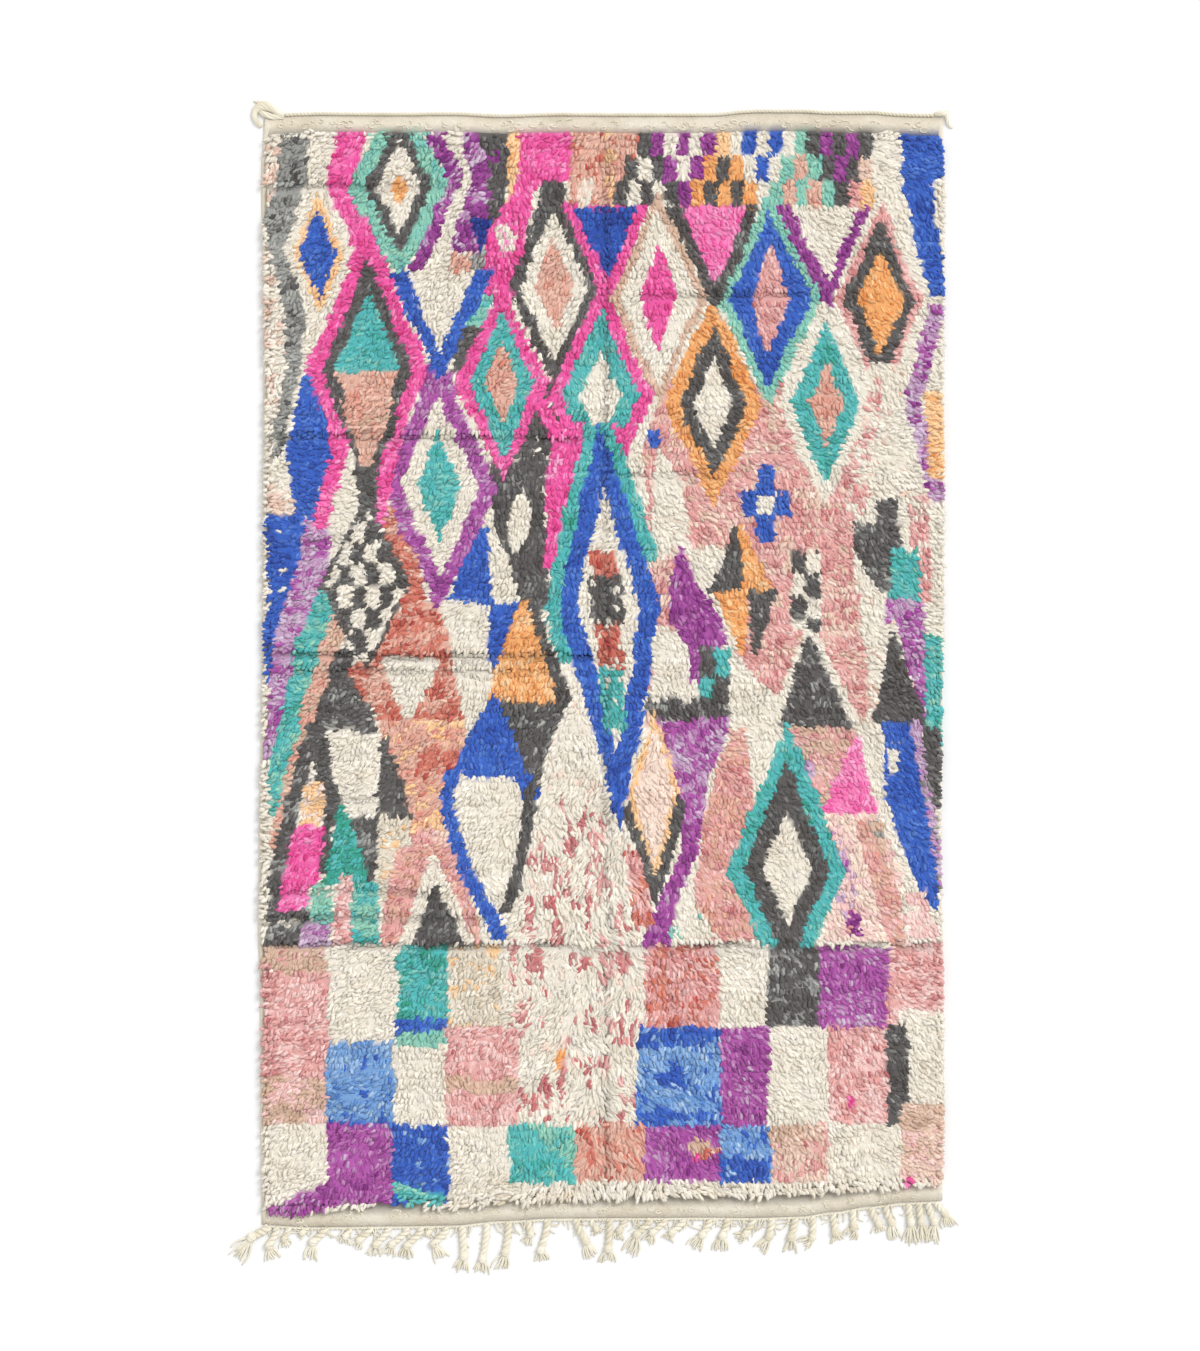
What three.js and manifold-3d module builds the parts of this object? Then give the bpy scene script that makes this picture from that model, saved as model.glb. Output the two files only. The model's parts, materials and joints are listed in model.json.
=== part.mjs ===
// Boujaad rug, knotted wool pile on a flat woven ground, lying flat.
// Millimetres, +Z up, +Y towards the heading end, +X to the right seen from above.
// The rug is laid out about the middle of its woven field, and the group is moved
// at the end so that its origin is under the middle of the whole rug.
import * as THREE from "three";
import { mergeVertices } from "three/addons/utils/BufferGeometryUtils.js";
import Module from "manifold-3d";

// Woven field
const halfWidth = 775;
const halfLength = 1250;
const groundThickness = 4;
const groundBevel = 1.5;
const cornerRadius = 9;
const endStations = 40;
const sideStations = 44;
const partingGap = 0.3;

// Wandering side edges, from foot to heading
const sideEdges = [
  { along: -1250, left: -773, right: 771 },
  { along: -1040, left: -776, right: 775 },
  { along: -720, left: -777, right: 774 },
  { along: -590, left: -781, right: 770 },
  { along: -350, left: -779, right: 768 },
  { along: -130, left: -775, right: 771 },
  { along: 90, left: -772, right: 774 },
  { along: 430, left: -771, right: 776 },
  { along: 640, left: -769, right: 773 },
  { along: 880, left: -771, right: 776 },
  { along: 1120, left: -774, right: 776 },
  { along: 1250, left: -768, right: 772 },
];

// Wandering end edges, from left to right, with the bare flat-woven band at each
const endEdges = [
  { across: -775, foot: -1262, head: 1250, footBand: 34, headBand: 38 },
  { across: -660, foot: -1267, head: 1254, footBand: 42, headBand: 37 },
  { across: -480, foot: -1265, head: 1253, footBand: 56, headBand: 38 },
  { across: -340, foot: -1263, head: 1254, footBand: 48, headBand: 37 },
  { across: -230, foot: -1253, head: 1249, footBand: 38, headBand: 36 },
  { across: -110, foot: -1247, head: 1253, footBand: 40, headBand: 38 },
  { across: 60, foot: -1246, head: 1252, footBand: 38, headBand: 38 },
  { across: 250, foot: -1245, head: 1252, footBand: 37, headBand: 38 },
  { across: 340, foot: -1246, head: 1260, footBand: 38, headBand: 42 },
  { across: 450, foot: -1243, head: 1260, footBand: 38, headBand: 42 },
  { across: 530, foot: -1232, head: 1256, footBand: 33, headBand: 42 },
  { across: 610, foot: -1220, head: 1257, footBand: 28, headBand: 43 },
  { across: 690, foot: -1211, head: 1251, footBand: 24, headBand: 42 },
  { across: 775, foot: -1208, head: 1250, footBand: 22, headBand: 42 },
];

// Knotted pile
const pileHeight = 15;
const pileShoulder = 0.62;
const pileLump = 2.2;
const selvedgeLeft = 12;
const selvedgeRight = 7;
const pileCell = 80;
const pileSeed = 7;
const creaseHalfWidth = 16;

// Fold creases across the rug, where the pile is combed apart
const crossCreases = [
  { along: 1093, from: -755, to: -345, depth: 6 },
  { along: 848, from: 85, to: 450, depth: 5 },
  { along: 525, from: -620, to: -30, depth: 6 },
  { along: 30, from: -390, to: -5, depth: 5 },
  { along: -628, from: -755, to: 755, depth: 8 },
];
const centreCrease = { across: 8, from: -1190, to: 1190, depth: 6 };

// Locks at the rim of the pile
const rimLockPitch = 50;
const rimLockWidth = 20;
const rimLockHeight = 9;
const rimLockRoot = 9;
const rimLockReach = 12;
const rimLockSlant = 7;

// Heading cord
const cordDiameter = 9;
const cordFlattening = 0.78;
const cordSides = 6;
const cordStep = 19;
const cordTwistStep = Math.PI / 5;
const cordSeat = 3.75;
const cordFrom = -720.4;
const cordTo = 752.8;

// Warp fringe
const stripWidth = 8;
const stripHeight = 4;
const stripEndInset = 12;
const strandTopRatio = 0.55;

// Thickness along a strand: braided neck, knot, then the loose flared end
const strandProfile = [
  { at: 0, width: 14, height: 8 },
  { at: 0.28, width: 14, height: 8.5 },
  { at: 0.5, width: 13.5, height: 8 },
  { at: 0.6, width: 18, height: 12 },
  { at: 0.7, width: 16, height: 10 },
  { at: 0.88, width: 23, height: 7 },
  { at: 1, width: 14, height: 3 },
];

// Fringe strands from left to right: where each leaves the foot edge, where its knot
// lies and where it ends, with "out" counted away from the rug
const strands = [
  { root: -758, knot: -796, knotOut: 28, tip: -836, tipOut: 76, size: 1.3 },
  { root: -738, knot: -757, knotOut: 46, tip: -745, tipOut: 78, size: 1.05 },
  { root: -712, knot: -722, knotOut: 30, tip: -717, tipOut: 50, size: 0.7 },
  { root: -668, knot: -681, knotOut: 14, tip: -693, tipOut: 23, size: 0.6 },
  { root: -630, knot: -657, knotOut: 34, tip: -664, tipOut: 77, size: 1.1 },
  { root: -573, knot: -583, knotOut: 22, tip: -587, tipOut: 40, size: 0.75 },
  { root: -526, knot: -552, knotOut: 32, tip: -560, tipOut: 52, size: 0.8 },
  { root: -485, knot: -514, knotOut: 42, tip: -519, tipOut: 68, size: 0.95 },
  { root: -442, knot: -478, knotOut: 42, tip: -488, tipOut: 68, size: 0.9 },
  { root: -410, knot: -444, knotOut: 46, tip: -450, tipOut: 76, size: 0.95 },
  { root: -386, knot: -396, knotOut: 18, tip: -400, tipOut: 27, size: 0.5 },
  { root: -353, knot: -383, knotOut: 42, tip: -366, tipOut: 80, size: 1 },
  { root: -318, knot: -314, knotOut: 72, tip: -326, tipOut: 108, size: 1.1 },
  { root: -263, knot: -272, knotOut: 84, tip: -277, tipOut: 118, size: 0.95 },
  { root: -213, knot: -221, knotOut: 72, tip: -234, tipOut: 116, size: 1 },
  { root: -168, knot: -163, knotOut: 34, tip: -176, tipOut: 58, size: 0.8 },
  { root: -125, knot: -140, knotOut: 72, tip: -138, tipOut: 98, size: 1 },
  { root: -60, knot: -38, knotOut: 52, tip: -24, tipOut: 92, size: 1 },
  { root: -26, knot: -14, knotOut: 26, tip: -9, tipOut: 38, size: 0.6 },
  { root: 16, knot: 13, knotOut: 70, tip: 9, tipOut: 104, size: 1 },
  { root: 51, knot: 38, knotOut: 30, tip: 34, tipOut: 52, size: 0.75 },
  { root: 108, knot: 78, knotOut: 38, tip: 56, tipOut: 86, size: 1 },
  { root: 143, knot: 113, knotOut: 34, tip: 98, tipOut: 58, size: 0.8 },
  { root: 185, knot: 158, knotOut: 34, tip: 148, tipOut: 54, size: 0.85 },
  { root: 244, knot: 226, knotOut: 40, tip: 208, tipOut: 72, size: 0.95 },
  { root: 284, knot: 272, knotOut: 42, tip: 268, tipOut: 76, size: 1 },
  { root: 341, knot: 324, knotOut: 38, tip: 303, tipOut: 50, size: 0.9 },
  { root: 384, knot: 378, knotOut: 44, tip: 356, tipOut: 76, size: 1 },
  { root: 437, knot: 428, knotOut: 48, tip: 426, tipOut: 84, size: 1.05 },
  { root: 478, knot: 476, knotOut: 52, tip: 452, tipOut: 72, size: 0.85 },
  { root: 523, knot: 528, knotOut: 48, tip: 535, tipOut: 68, size: 0.95 },
  { root: 568, knot: 570, knotOut: 42, tip: 556, tipOut: 68, size: 0.9 },
  { root: 610, knot: 627, knotOut: 40, tip: 630, tipOut: 60, size: 0.9 },
  { root: 642, knot: 656, knotOut: 40, tip: 664, tipOut: 80, size: 0.95 },
  { root: 694, knot: 700, knotOut: 46, tip: 700, tipOut: 98, size: 1 },
  { root: 718, knot: 723, knotOut: 46, tip: 730, tipOut: 94, size: 0.85 },
  { root: 739, knot: 753, knotOut: 46, tip: 751, tipOut: 98, size: 0.9 },
  { root: 758, knot: 777, knotOut: 28, tip: 793, tipOut: 62, size: 0.8 },
];

// Leftover warps at the heading corners, each as the points its bundle passes
const tailLoop = [
  { across: -722, along: 1256, width: 9, height: 8 },
  { across: -736, along: 1260, width: 11, height: 9 },
  { across: -751, along: 1270, width: 17, height: 12 },
  { across: -769, along: 1276, width: 21, height: 13 },
  { across: -785, along: 1269, width: 16, height: 11 },
  { across: -790, along: 1254, width: 12, height: 9 },
  { across: -784, along: 1240, width: 11, height: 8 },
  { across: -774, along: 1229, width: 8, height: 5 },
];
const tailSpike = [
  { across: -770, along: 1277, width: 9, height: 6 },
  { across: -781, along: 1284, width: 7, height: 4 },
  { across: -792, along: 1287, width: 3, height: 2 },
];
const tuftUpper = [
  { across: 754, along: 1257, width: 9, height: 8 },
  { across: 767, along: 1259, width: 13, height: 11 },
  { across: 778, along: 1259, width: 11, height: 9 },
  { across: 785, along: 1264, width: 5, height: 3 },
];
const tuftLower = [
  { across: 780, along: 1259, width: 8, height: 8 },
  { across: 783, along: 1243, width: 9, height: 8 },
  { across: 788, along: 1231, width: 7, height: 5 },
  { across: 795, along: 1226, width: 3, height: 2 },
];

// Colours of the plain solids
const groundColour = 0xddd2b8;
const pileColour = 0xd8b9a8;
const warpColour = 0xe0d9c4;

// The value of a table's column at a place, easing from row to row
function eased(rows, key, column, place) {
  const next = rows.findIndex((row) => row[key] > place);
  if (next === 0) return rows[0][column];
  if (next < 0) return rows[rows.length - 1][column];
  const low = rows[next - 1];
  const high = rows[next];
  const t = THREE.MathUtils.smoothstep(place, low[key], high[key]);
  return THREE.MathUtils.lerp(low[column], high[column], t);
}

const leftEdge = (along) => eased(sideEdges, "along", "left", along);
const rightEdge = (along) => eased(sideEdges, "along", "right", along);
const footEdge = (across) => eased(endEdges, "across", "foot", across);
const headEdge = (across) => eased(endEdges, "across", "head", across);
const footBand = (across) => eased(endEdges, "across", "footBand", across);
const headBand = (across) => eased(endEdges, "across", "headBand", across);

// A place on the rug from -1 to 1 each way, inset from its four wandering edges
function rugPoint(u, v, inset) {
  const across = u * halfWidth;
  const along = v * halfLength;
  const left = leftEdge(along) + inset.left(along);
  const right = rightEdge(along) - inset.right(along);
  const foot = footEdge(across) + inset.foot(across);
  const head = headEdge(across) - inset.head(across);
  return new THREE.Vector2(
    THREE.MathUtils.lerp(left, right, (u + 1) / 2),
    THREE.MathUtils.lerp(foot, head, (v + 1) / 2),
  );
}

const evenInset = (size) => {
  const side = () => size;
  return { left: side, right: side, foot: side, head: side };
};

const pileInset = {
  left: () => selvedgeLeft,
  right: () => selvedgeRight,
  foot: footBand,
  head: headBand,
};

// Evenly spaced values from -1 to 1, both ends included
const stations = (count) => Array.from({ length: count + 1 }, (_, i) => (2 * i) / count - 1);

// The rug's outline anticlockwise from the left of the foot, its corners rounded
function outline(inset) {
  const across = stations(endStations);
  const along = stations(sideStations).slice(1, -1);
  const foot = across.map((u) => rugPoint(u, -1, inset));
  const right = along.map((v) => rugPoint(1, v, inset));
  const head = across.map((u) => rugPoint(-u, 1, inset));
  const left = along.map((v) => rugPoint(-1, -v, inset));
  const ring = [...foot, ...right, ...head, ...left];
  const corners = [foot[0], foot[endStations], head[0], head[endStations]];
  return ring.flatMap((point, i) => {
    if (!corners.includes(point)) return [point];
    const before = ring[(i + ring.length - 1) % ring.length];
    const after = ring[(i + 1) % ring.length];
    const start = before.clone().sub(point).setLength(cornerRadius).add(point);
    const end = after.clone().sub(point).setLength(cornerRadius).add(point);
    const middle = start.clone().add(end).multiplyScalar(0.3).addScaledVector(point, 0.4);
    return [start, middle, end];
  });
}

// A geometry from points and triples of their numbers
function meshFrom(points, triangles) {
  const geometry = new THREE.BufferGeometry();
  const positions = points.flatMap((point) => point.toArray());
  geometry.setAttribute("position", new THREE.Float32BufferAttribute(positions, 3));
  geometry.setIndex(triangles.flat());
  geometry.computeVertexNormals();
  return geometry;
}

// A closed solid from rings of points that rise or run on from one to the next.
// The rings turn anticlockwise seen from the last one, and flat caps close both ends.
function solidFromRings(rings, capTriangles) {
  const count = rings[0].length;
  const triangles = [];
  for (let ring = 0; ring + 1 < rings.length; ring += 1) {
    for (let i = 0; i < count; i += 1) {
      const a = ring * count + i;
      const b = ring * count + ((i + 1) % count);
      triangles.push([a, b, b + count], [a, b + count, a + count]);
    }
  }
  const last = (rings.length - 1) * count;
  for (const [a, b, c] of capTriangles) {
    triangles.push([c, b, a], [last + a, last + b, last + c]);
  }
  return meshFrom(rings.flat(), triangles);
}

// The height of a run of straight edges at a place across the rug
function onLine(line, across) {
  const next = line.findIndex((point) => point.x > across);
  const low = line[next - 1];
  const high = line[next];
  return THREE.MathUtils.mapLinear(across, low.x, high.x, low.y, high.y);
}

const endLine = (v) => stations(endStations).map((u) => rugPoint(u, v, evenInset(0)));
const footLine = endLine(-1);
const headLine = endLine(1);

const atHeight = (ring, height) => ring.map((point) => new THREE.Vector3(point.x, point.y, height));

// The woven ground: one flat sheet with a bevelled edge
function groundGeometry() {
  const outer = outline(evenInset(0));
  const inner = outline(evenInset(groundBevel));
  const cap = THREE.ShapeUtils.triangulateShape(inner, []);
  const rings = [
    atHeight(inner, 0),
    atHeight(outer, groundThickness / 2),
    atHeight(inner, groundThickness),
  ];
  return solidFromRings(rings, cap);
}

// Seeded random numbers from 0 to 1, the same on every run
function seededRandom(seed) {
  let state = seed;
  return () => {
    state = (state * 16807) % 2147483647;
    return state / 2147483647;
  };
}

// How deep a fold crease is at its own line, fading towards its two ends
function creaseDepth(crease, place) {
  const fade = 60;
  const rise = THREE.MathUtils.smoothstep(place, crease.from - fade, crease.from + fade);
  const fall = 1 - THREE.MathUtils.smoothstep(place, crease.to - fade, crease.to + fade);
  return crease.depth * rise * fall;
}

// Grid lines for the pile: even cells, with a line on each crease and on both its sides
function gridLines(low, high, creaseLines) {
  const marks = creaseLines.flatMap((line) => [line - creaseHalfWidth, line, line + creaseHalfWidth]);
  const stops = [low, ...marks.sort((a, b) => a - b), high];
  const lines = [low];
  for (let i = 1; i < stops.length; i += 1) {
    const span = stops[i] - stops[i - 1];
    const cells = Math.max(1, Math.round(span / pileCell));
    for (let cell = 1; cell <= cells; cell += 1) {
      lines.push(stops[i - 1] + (span * cell) / cells);
    }
  }
  return lines;
}

const pileFloor = groundThickness + partingGap;

// The pile's slab: a lumpy top over a flat underside, with a shoulder at its rim
function pileSlab() {
  const random = seededRandom(pileSeed);
  const columns = gridLines(-halfWidth, halfWidth, [centreCrease.across]);
  const rows = gridLines(-halfLength, halfLength, crossCreases.map((crease) => crease.along));
  const lastColumn = columns.length - 1;
  const lastRow = rows.length - 1;
  const points = [];
  rows.forEach((along, j) => {
    columns.forEach((across, i) => {
      const place = rugPoint(across / halfWidth, along / halfLength, pileInset);
      const rim = i === 0 || j === 0 || i === lastColumn || j === lastRow;
      const lump = (random() * 2 - 1) * pileLump;
      const crossFold = crossCreases.find((crease) => crease.along === along);
      const crossDip = crossFold ? creaseDepth(crossFold, across) : 0;
      const centreDip = across === centreCrease.across ? creaseDepth(centreCrease, along) : 0;
      const top = rim ? pileHeight * pileShoulder : pileHeight - Math.max(crossDip, centreDip);
      points.push(new THREE.Vector3(place.x, place.y, pileFloor + top + lump));
    });
  });
  const at = (i, j) => j * columns.length + i;
  const triangles = [];
  for (let j = 0; j < lastRow; j += 1) {
    for (let i = 0; i < lastColumn; i += 1) {
      triangles.push([at(i, j), at(i + 1, j), at(i + 1, j + 1)]);
      triangles.push([at(i, j), at(i + 1, j + 1), at(i, j + 1)]);
    }
  }
  const foot = columns.map((_, i) => at(i, 0));
  const right = rows.map((_, j) => at(lastColumn, j)).slice(1);
  const head = columns.map((_, i) => at(lastColumn - i, lastRow)).slice(1);
  const left = rows.map((_, j) => at(0, lastRow - j)).slice(1, -1);
  const rim = [...foot, ...right, ...head, ...left];
  const base = points.length;
  rim.forEach((top) => points.push(new THREE.Vector3(points[top].x, points[top].y, pileFloor)));
  rim.forEach((top, i) => {
    const next = (i + 1) % rim.length;
    triangles.push([base + i, base + next, rim[next]], [base + i, rim[next], top]);
  });
  const flat = rim.map((top) => new THREE.Vector2(points[top].x, points[top].y));
  for (const [a, b, c] of THREE.ShapeUtils.triangulateShape(flat, [])) {
    triangles.push([base + c, base + b, base + a]);
  }
  return { geometry: meshFrom(points, triangles), rim: flat };
}

// One lock: a three-sided tuft from inside the pile's rim to a low point outside it
function lockGeometry(root, outward, slant) {
  const side = new THREE.Vector2(-outward.y, outward.x);
  const ring = (out, width, height) => {
    const middle = root.clone().addScaledVector(outward, out).addScaledVector(side, slant * out);
    const low = pileFloor + partingGap;
    const corner = (shift, rise) => {
      const point = middle.clone().addScaledVector(side, shift);
      return new THREE.Vector3(point.x, point.y, low + rise);
    };
    return [corner(-width / 2, 0), corner(width / 2, 0), corner(0, height)];
  };
  const rings = [
    ring(-rimLockRoot, rimLockWidth, rimLockHeight),
    ring(rimLockReach * 0.45, rimLockWidth * 0.8, rimLockHeight * 0.75),
    ring(rimLockReach, rimLockWidth * 0.15, rimLockHeight * 0.12),
  ];
  return solidFromRings(rings, [[0, 1, 2]]);
}

// Locks all round the rim, at an even pitch with a random lean
function rimLocks(rim) {
  const random = seededRandom(pileSeed + 1);
  const locks = [];
  let carried = rimLockPitch / 2;
  rim.forEach((start, i) => {
    const end = rim[(i + 1) % rim.length];
    const edge = end.clone().sub(start);
    const length = edge.length();
    const outward = new THREE.Vector2(edge.y, -edge.x).normalize();
    while (carried < length) {
      const root = start.clone().addScaledVector(edge, carried / length);
      const slant = ((random() * 2 - 1) * rimLockSlant) / rimLockReach;
      locks.push(lockGeometry(root, outward, slant));
      carried += rimLockPitch;
    }
    carried -= length;
  });
  return locks;
}

// A strand that lies level: each section has its flat base on the floor and a narrower top
function strandGeometry(sections) {
  const rings = sections.map((section, i) => {
    const before = sections[Math.max(i - 1, 0)];
    const after = sections[Math.min(i + 1, sections.length - 1)];
    const ahead = new THREE.Vector2(after.across - before.across, after.along - before.along);
    const side = new THREE.Vector2(-ahead.y, ahead.x).normalize();
    const corner = (shift, height) =>
      new THREE.Vector3(section.across + side.x * shift, section.along + side.y * shift, height);
    const base = section.width / 2;
    const top = base * strandTopRatio;
    return [
      corner(-base, 0),
      corner(base, 0),
      corner(top, section.height),
      corner(-top, section.height),
    ];
  });
  return solidFromRings(rings, [[0, 1, 2], [0, 2, 3]]);
}

// The sections of one fringe strand, along a curve through its root, knot and tip
function strandSections(strand) {
  const foot = onLine(footLine, strand.root);
  const rootOut = partingGap + stripWidth * 0.7;
  const lead = strand.knotOut * 0.35;
  const curve = new THREE.CatmullRomCurve3([
    new THREE.Vector3(strand.root, foot - rootOut, 0),
    new THREE.Vector3(THREE.MathUtils.lerp(strand.root, strand.knot, 0.2), foot - rootOut - lead, 0),
    new THREE.Vector3(strand.knot, foot - strand.knotOut, 0),
    new THREE.Vector3(strand.tip, foot - strand.tipOut, 0),
  ]);
  const size = Math.sqrt(strand.size);
  return strandProfile.map((row) => {
    const point = curve.getPoint(row.at);
    return { across: point.x, along: point.y, width: row.width * size, height: row.height * size };
  });
}

// The narrow strip that the fringe hangs from, parted from the ground's foot edge
function stripGeometry() {
  const edge = footLine.map((point) => point.clone());
  const share = (stripEndInset * endStations) / (2 * halfWidth);
  edge[0].lerp(edge[1], share);
  edge[endStations].lerp(edge[endStations - 1], share);
  const line = (out) => edge.map((point) => new THREE.Vector2(point.x, point.y - out));
  const ring = [...line(partingGap + stripWidth), ...line(partingGap).reverse()];
  const cap = THREE.ShapeUtils.triangulateShape(ring, []);
  return solidFromRings([atHeight(ring, 0), atHeight(ring, stripHeight)], cap);
}

// The heading cord: a flattened section that turns as it runs along the heading edge
function cordGeometry() {
  const radius = cordDiameter / 2;
  const centreHeight = radius * Math.cos(Math.PI / cordSides);
  const count = Math.round((cordTo - cordFrom) / cordStep);
  const rings = Array.from({ length: count + 1 }, (_, i) => {
    const across = THREE.MathUtils.lerp(cordFrom, cordTo, i / count);
    const along = onLine(headLine, across) + partingGap + cordSeat;
    return Array.from({ length: cordSides }, (_side, corner) => {
      const angle = (corner / cordSides) * Math.PI * 2;
      const flat = 1 - (1 - cordFlattening) * Math.cos(angle - i * cordTwistStep) ** 2;
      const rise = Math.sin(angle) * radius * flat;
      return new THREE.Vector3(across, along + Math.cos(angle) * radius * flat, centreHeight + rise);
    });
  });
  const cap = Array.from({ length: cordSides - 2 }, (_, i) => [0, i + 1, i + 2]);
  return solidFromRings(rings, cap);
}

// Joins overlapping pieces of one node into a single closed solid
const wasm = await Module();
wasm.setup();

function joined(geometries) {
  const solids = geometries.map((geometry) => {
    geometry.deleteAttribute("normal");
    const merged = mergeVertices(geometry);
    return new wasm.Manifold(new wasm.Mesh({
      numProp: 3,
      vertProperties: merged.attributes.position.array,
      triVerts: Uint32Array.from(merged.index.array),
    }));
  });
  const mesh = wasm.Manifold.union(solids).getMesh();
  const geometry = new THREE.BufferGeometry();
  geometry.setAttribute("position", new THREE.BufferAttribute(mesh.vertProperties, 3));
  geometry.setIndex(new THREE.BufferAttribute(mesh.triVerts, 1));
  geometry.computeVertexNormals();
  return geometry;
}

// A named sub-part in matt wool
function woolPiece(name, geometry, color) {
  const material = new THREE.MeshStandardMaterial({ color, roughness: 0.95, metalness: 0 });
  const mesh = new THREE.Mesh(geometry, material);
  mesh.name = name;
  return mesh;
}

const slab = pileSlab();
const fringe = strands.map((strand) => strandGeometry(strandSections(strand)));

const rug = new THREE.Group();
rug.add(
  woolPiece("ground_weave", groundGeometry(), groundColour),
  woolPiece("pile", joined([slab.geometry, ...rimLocks(slab.rim)]), pileColour),
  woolPiece("heading_cord", cordGeometry(), groundColour),
  woolPiece("warp_fringe", joined([stripGeometry(), ...fringe]), warpColour),
  woolPiece("heading_tail", joined([tailLoop, tailSpike].map(strandGeometry)), warpColour),
  woolPiece("heading_tuft", joined([tuftUpper, tuftLower].map(strandGeometry)), warpColour),
);

// The origin goes under the middle of the whole rug, fringe and corner ends included
const box = new THREE.Box3().setFromObject(rug);
const middle = box.getCenter(new THREE.Vector3());
rug.position.set(-middle.x, -middle.y, -box.min.z);

export default rug;
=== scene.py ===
# Boujaad rug: knotted wool pile on a flat weave, lying flat and seen from above.
# Metres, +Z up, +Y towards the heading end. The design is charted in centimetres,
# "x" from the left edge and "d" down from the heading edge.
import json
import math
import bpy
import numpy as np
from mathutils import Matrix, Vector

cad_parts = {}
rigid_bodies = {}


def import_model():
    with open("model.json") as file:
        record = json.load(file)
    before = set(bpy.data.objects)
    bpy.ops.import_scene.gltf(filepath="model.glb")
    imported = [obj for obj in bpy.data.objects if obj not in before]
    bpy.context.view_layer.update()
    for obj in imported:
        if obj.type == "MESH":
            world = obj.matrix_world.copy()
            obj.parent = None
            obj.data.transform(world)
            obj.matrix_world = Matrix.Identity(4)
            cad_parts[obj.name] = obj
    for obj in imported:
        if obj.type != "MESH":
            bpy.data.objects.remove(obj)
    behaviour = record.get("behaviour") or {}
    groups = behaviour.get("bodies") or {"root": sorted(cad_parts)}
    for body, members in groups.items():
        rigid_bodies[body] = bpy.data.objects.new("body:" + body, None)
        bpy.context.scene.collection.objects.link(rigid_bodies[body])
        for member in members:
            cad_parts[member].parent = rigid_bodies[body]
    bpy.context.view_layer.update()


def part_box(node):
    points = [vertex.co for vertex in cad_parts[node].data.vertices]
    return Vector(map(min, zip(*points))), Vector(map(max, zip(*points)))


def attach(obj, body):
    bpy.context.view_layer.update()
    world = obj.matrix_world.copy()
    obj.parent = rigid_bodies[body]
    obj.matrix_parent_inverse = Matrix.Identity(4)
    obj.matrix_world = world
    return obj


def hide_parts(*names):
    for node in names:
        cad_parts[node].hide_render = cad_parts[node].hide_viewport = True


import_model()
mm = 0.001
cm = 0.01

# Woven field
rug = {
    "halfWidth": 775 * mm,
    "halfLength": 1250 * mm,
    "thickness": 4 * mm,
    "leftmost": -781 * mm,
    "footmost": -1267 * mm,
    "selvedgeLeft": 12 * mm,
    "selvedgeRight": 7 * mm,
    "chartLeft": 77.3,     # chart x of the middle of the field
    "chartMiddle": 125.2,  # chart d of the middle of the field
}

# Wandering side edges from foot to heading: along, left, right
sideEdges = mm * np.array([
    (-1250, -773, 771), (-1040, -776, 775), (-720, -777, 774), (-590, -781, 770),
    (-350, -779, 768), (-130, -775, 771), (90, -772, 774), (430, -771, 776),
    (640, -769, 773), (880, -771, 776), (1120, -774, 776), (1250, -768, 772),
])

# Wandering end edges from left to right: across, foot, head, foot band, head band
endEdges = mm * np.array([
    (-775, -1262, 1250, 34, 38), (-660, -1267, 1254, 42, 37), (-480, -1265, 1253, 56, 38),
    (-340, -1263, 1254, 48, 37), (-230, -1253, 1249, 38, 36), (-110, -1247, 1253, 40, 38),
    (60, -1246, 1252, 38, 38), (250, -1245, 1252, 37, 38), (340, -1246, 1260, 38, 42),
    (450, -1243, 1260, 38, 42), (530, -1232, 1256, 33, 42), (610, -1220, 1257, 28, 43),
    (690, -1211, 1251, 24, 42), (775, -1208, 1250, 22, 42),
])

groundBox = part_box("ground_weave")
shiftX = groundBox[0][0] - rug["leftmost"]
shiftY = groundBox[0][1] - rug["footmost"]


# From 0 to 1 with a level start and end: 3 t^2 - 2 t^3
def smoothStep(t):
    return t * t * (3 - 2 * t)


# A table column eased from row to row
def eased(table, column, place):
    keys = table[:, 0]
    row = np.clip(np.searchsorted(keys, place, side="right") - 1, 0, len(keys) - 2)
    t = smoothStep(np.clip((place - keys[row]) / (keys[row + 1] - keys[row]), 0, 1))
    return table[row, column] * (1 - t) + table[row + 1, column] * t


# A place on the rug: u and v from -1 to 1 run between the four wandering edges,
# x = left + (right - left) (u + 1) / 2 and y = foot + (head - foot) (v + 1) / 2
def rugPoint(u, v, left=0.0, right=0.0, bands=0.0):
    across = u * rug["halfWidth"]
    along = v * rug["halfLength"]
    lowX = eased(sideEdges, 1, along) + left
    highX = eased(sideEdges, 2, along) - right
    lowY = eased(endEdges, 1, across) + eased(endEdges, 3, across) * bands
    highY = eased(endEdges, 2, across) - eased(endEdges, 4, across) * bands
    x = lowX + (highX - lowX) * (u + 1) / 2
    y = lowY + (highY - lowY) * (v + 1) / 2
    return x + shiftX, y + shiftY


# A place in the knotted field, inside the selvedges and the two bands
def fieldPoint(u, v):
    return rugPoint(u, v, rug["selvedgeLeft"], rug["selvedgeRight"], 1.0)


# Chart centimetres of a place in the frame
def chartPlace(x, y):
    return (x - shiftX) / cm + rug["chartLeft"], rug["chartMiddle"] - (y - shiftY) / cm


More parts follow.
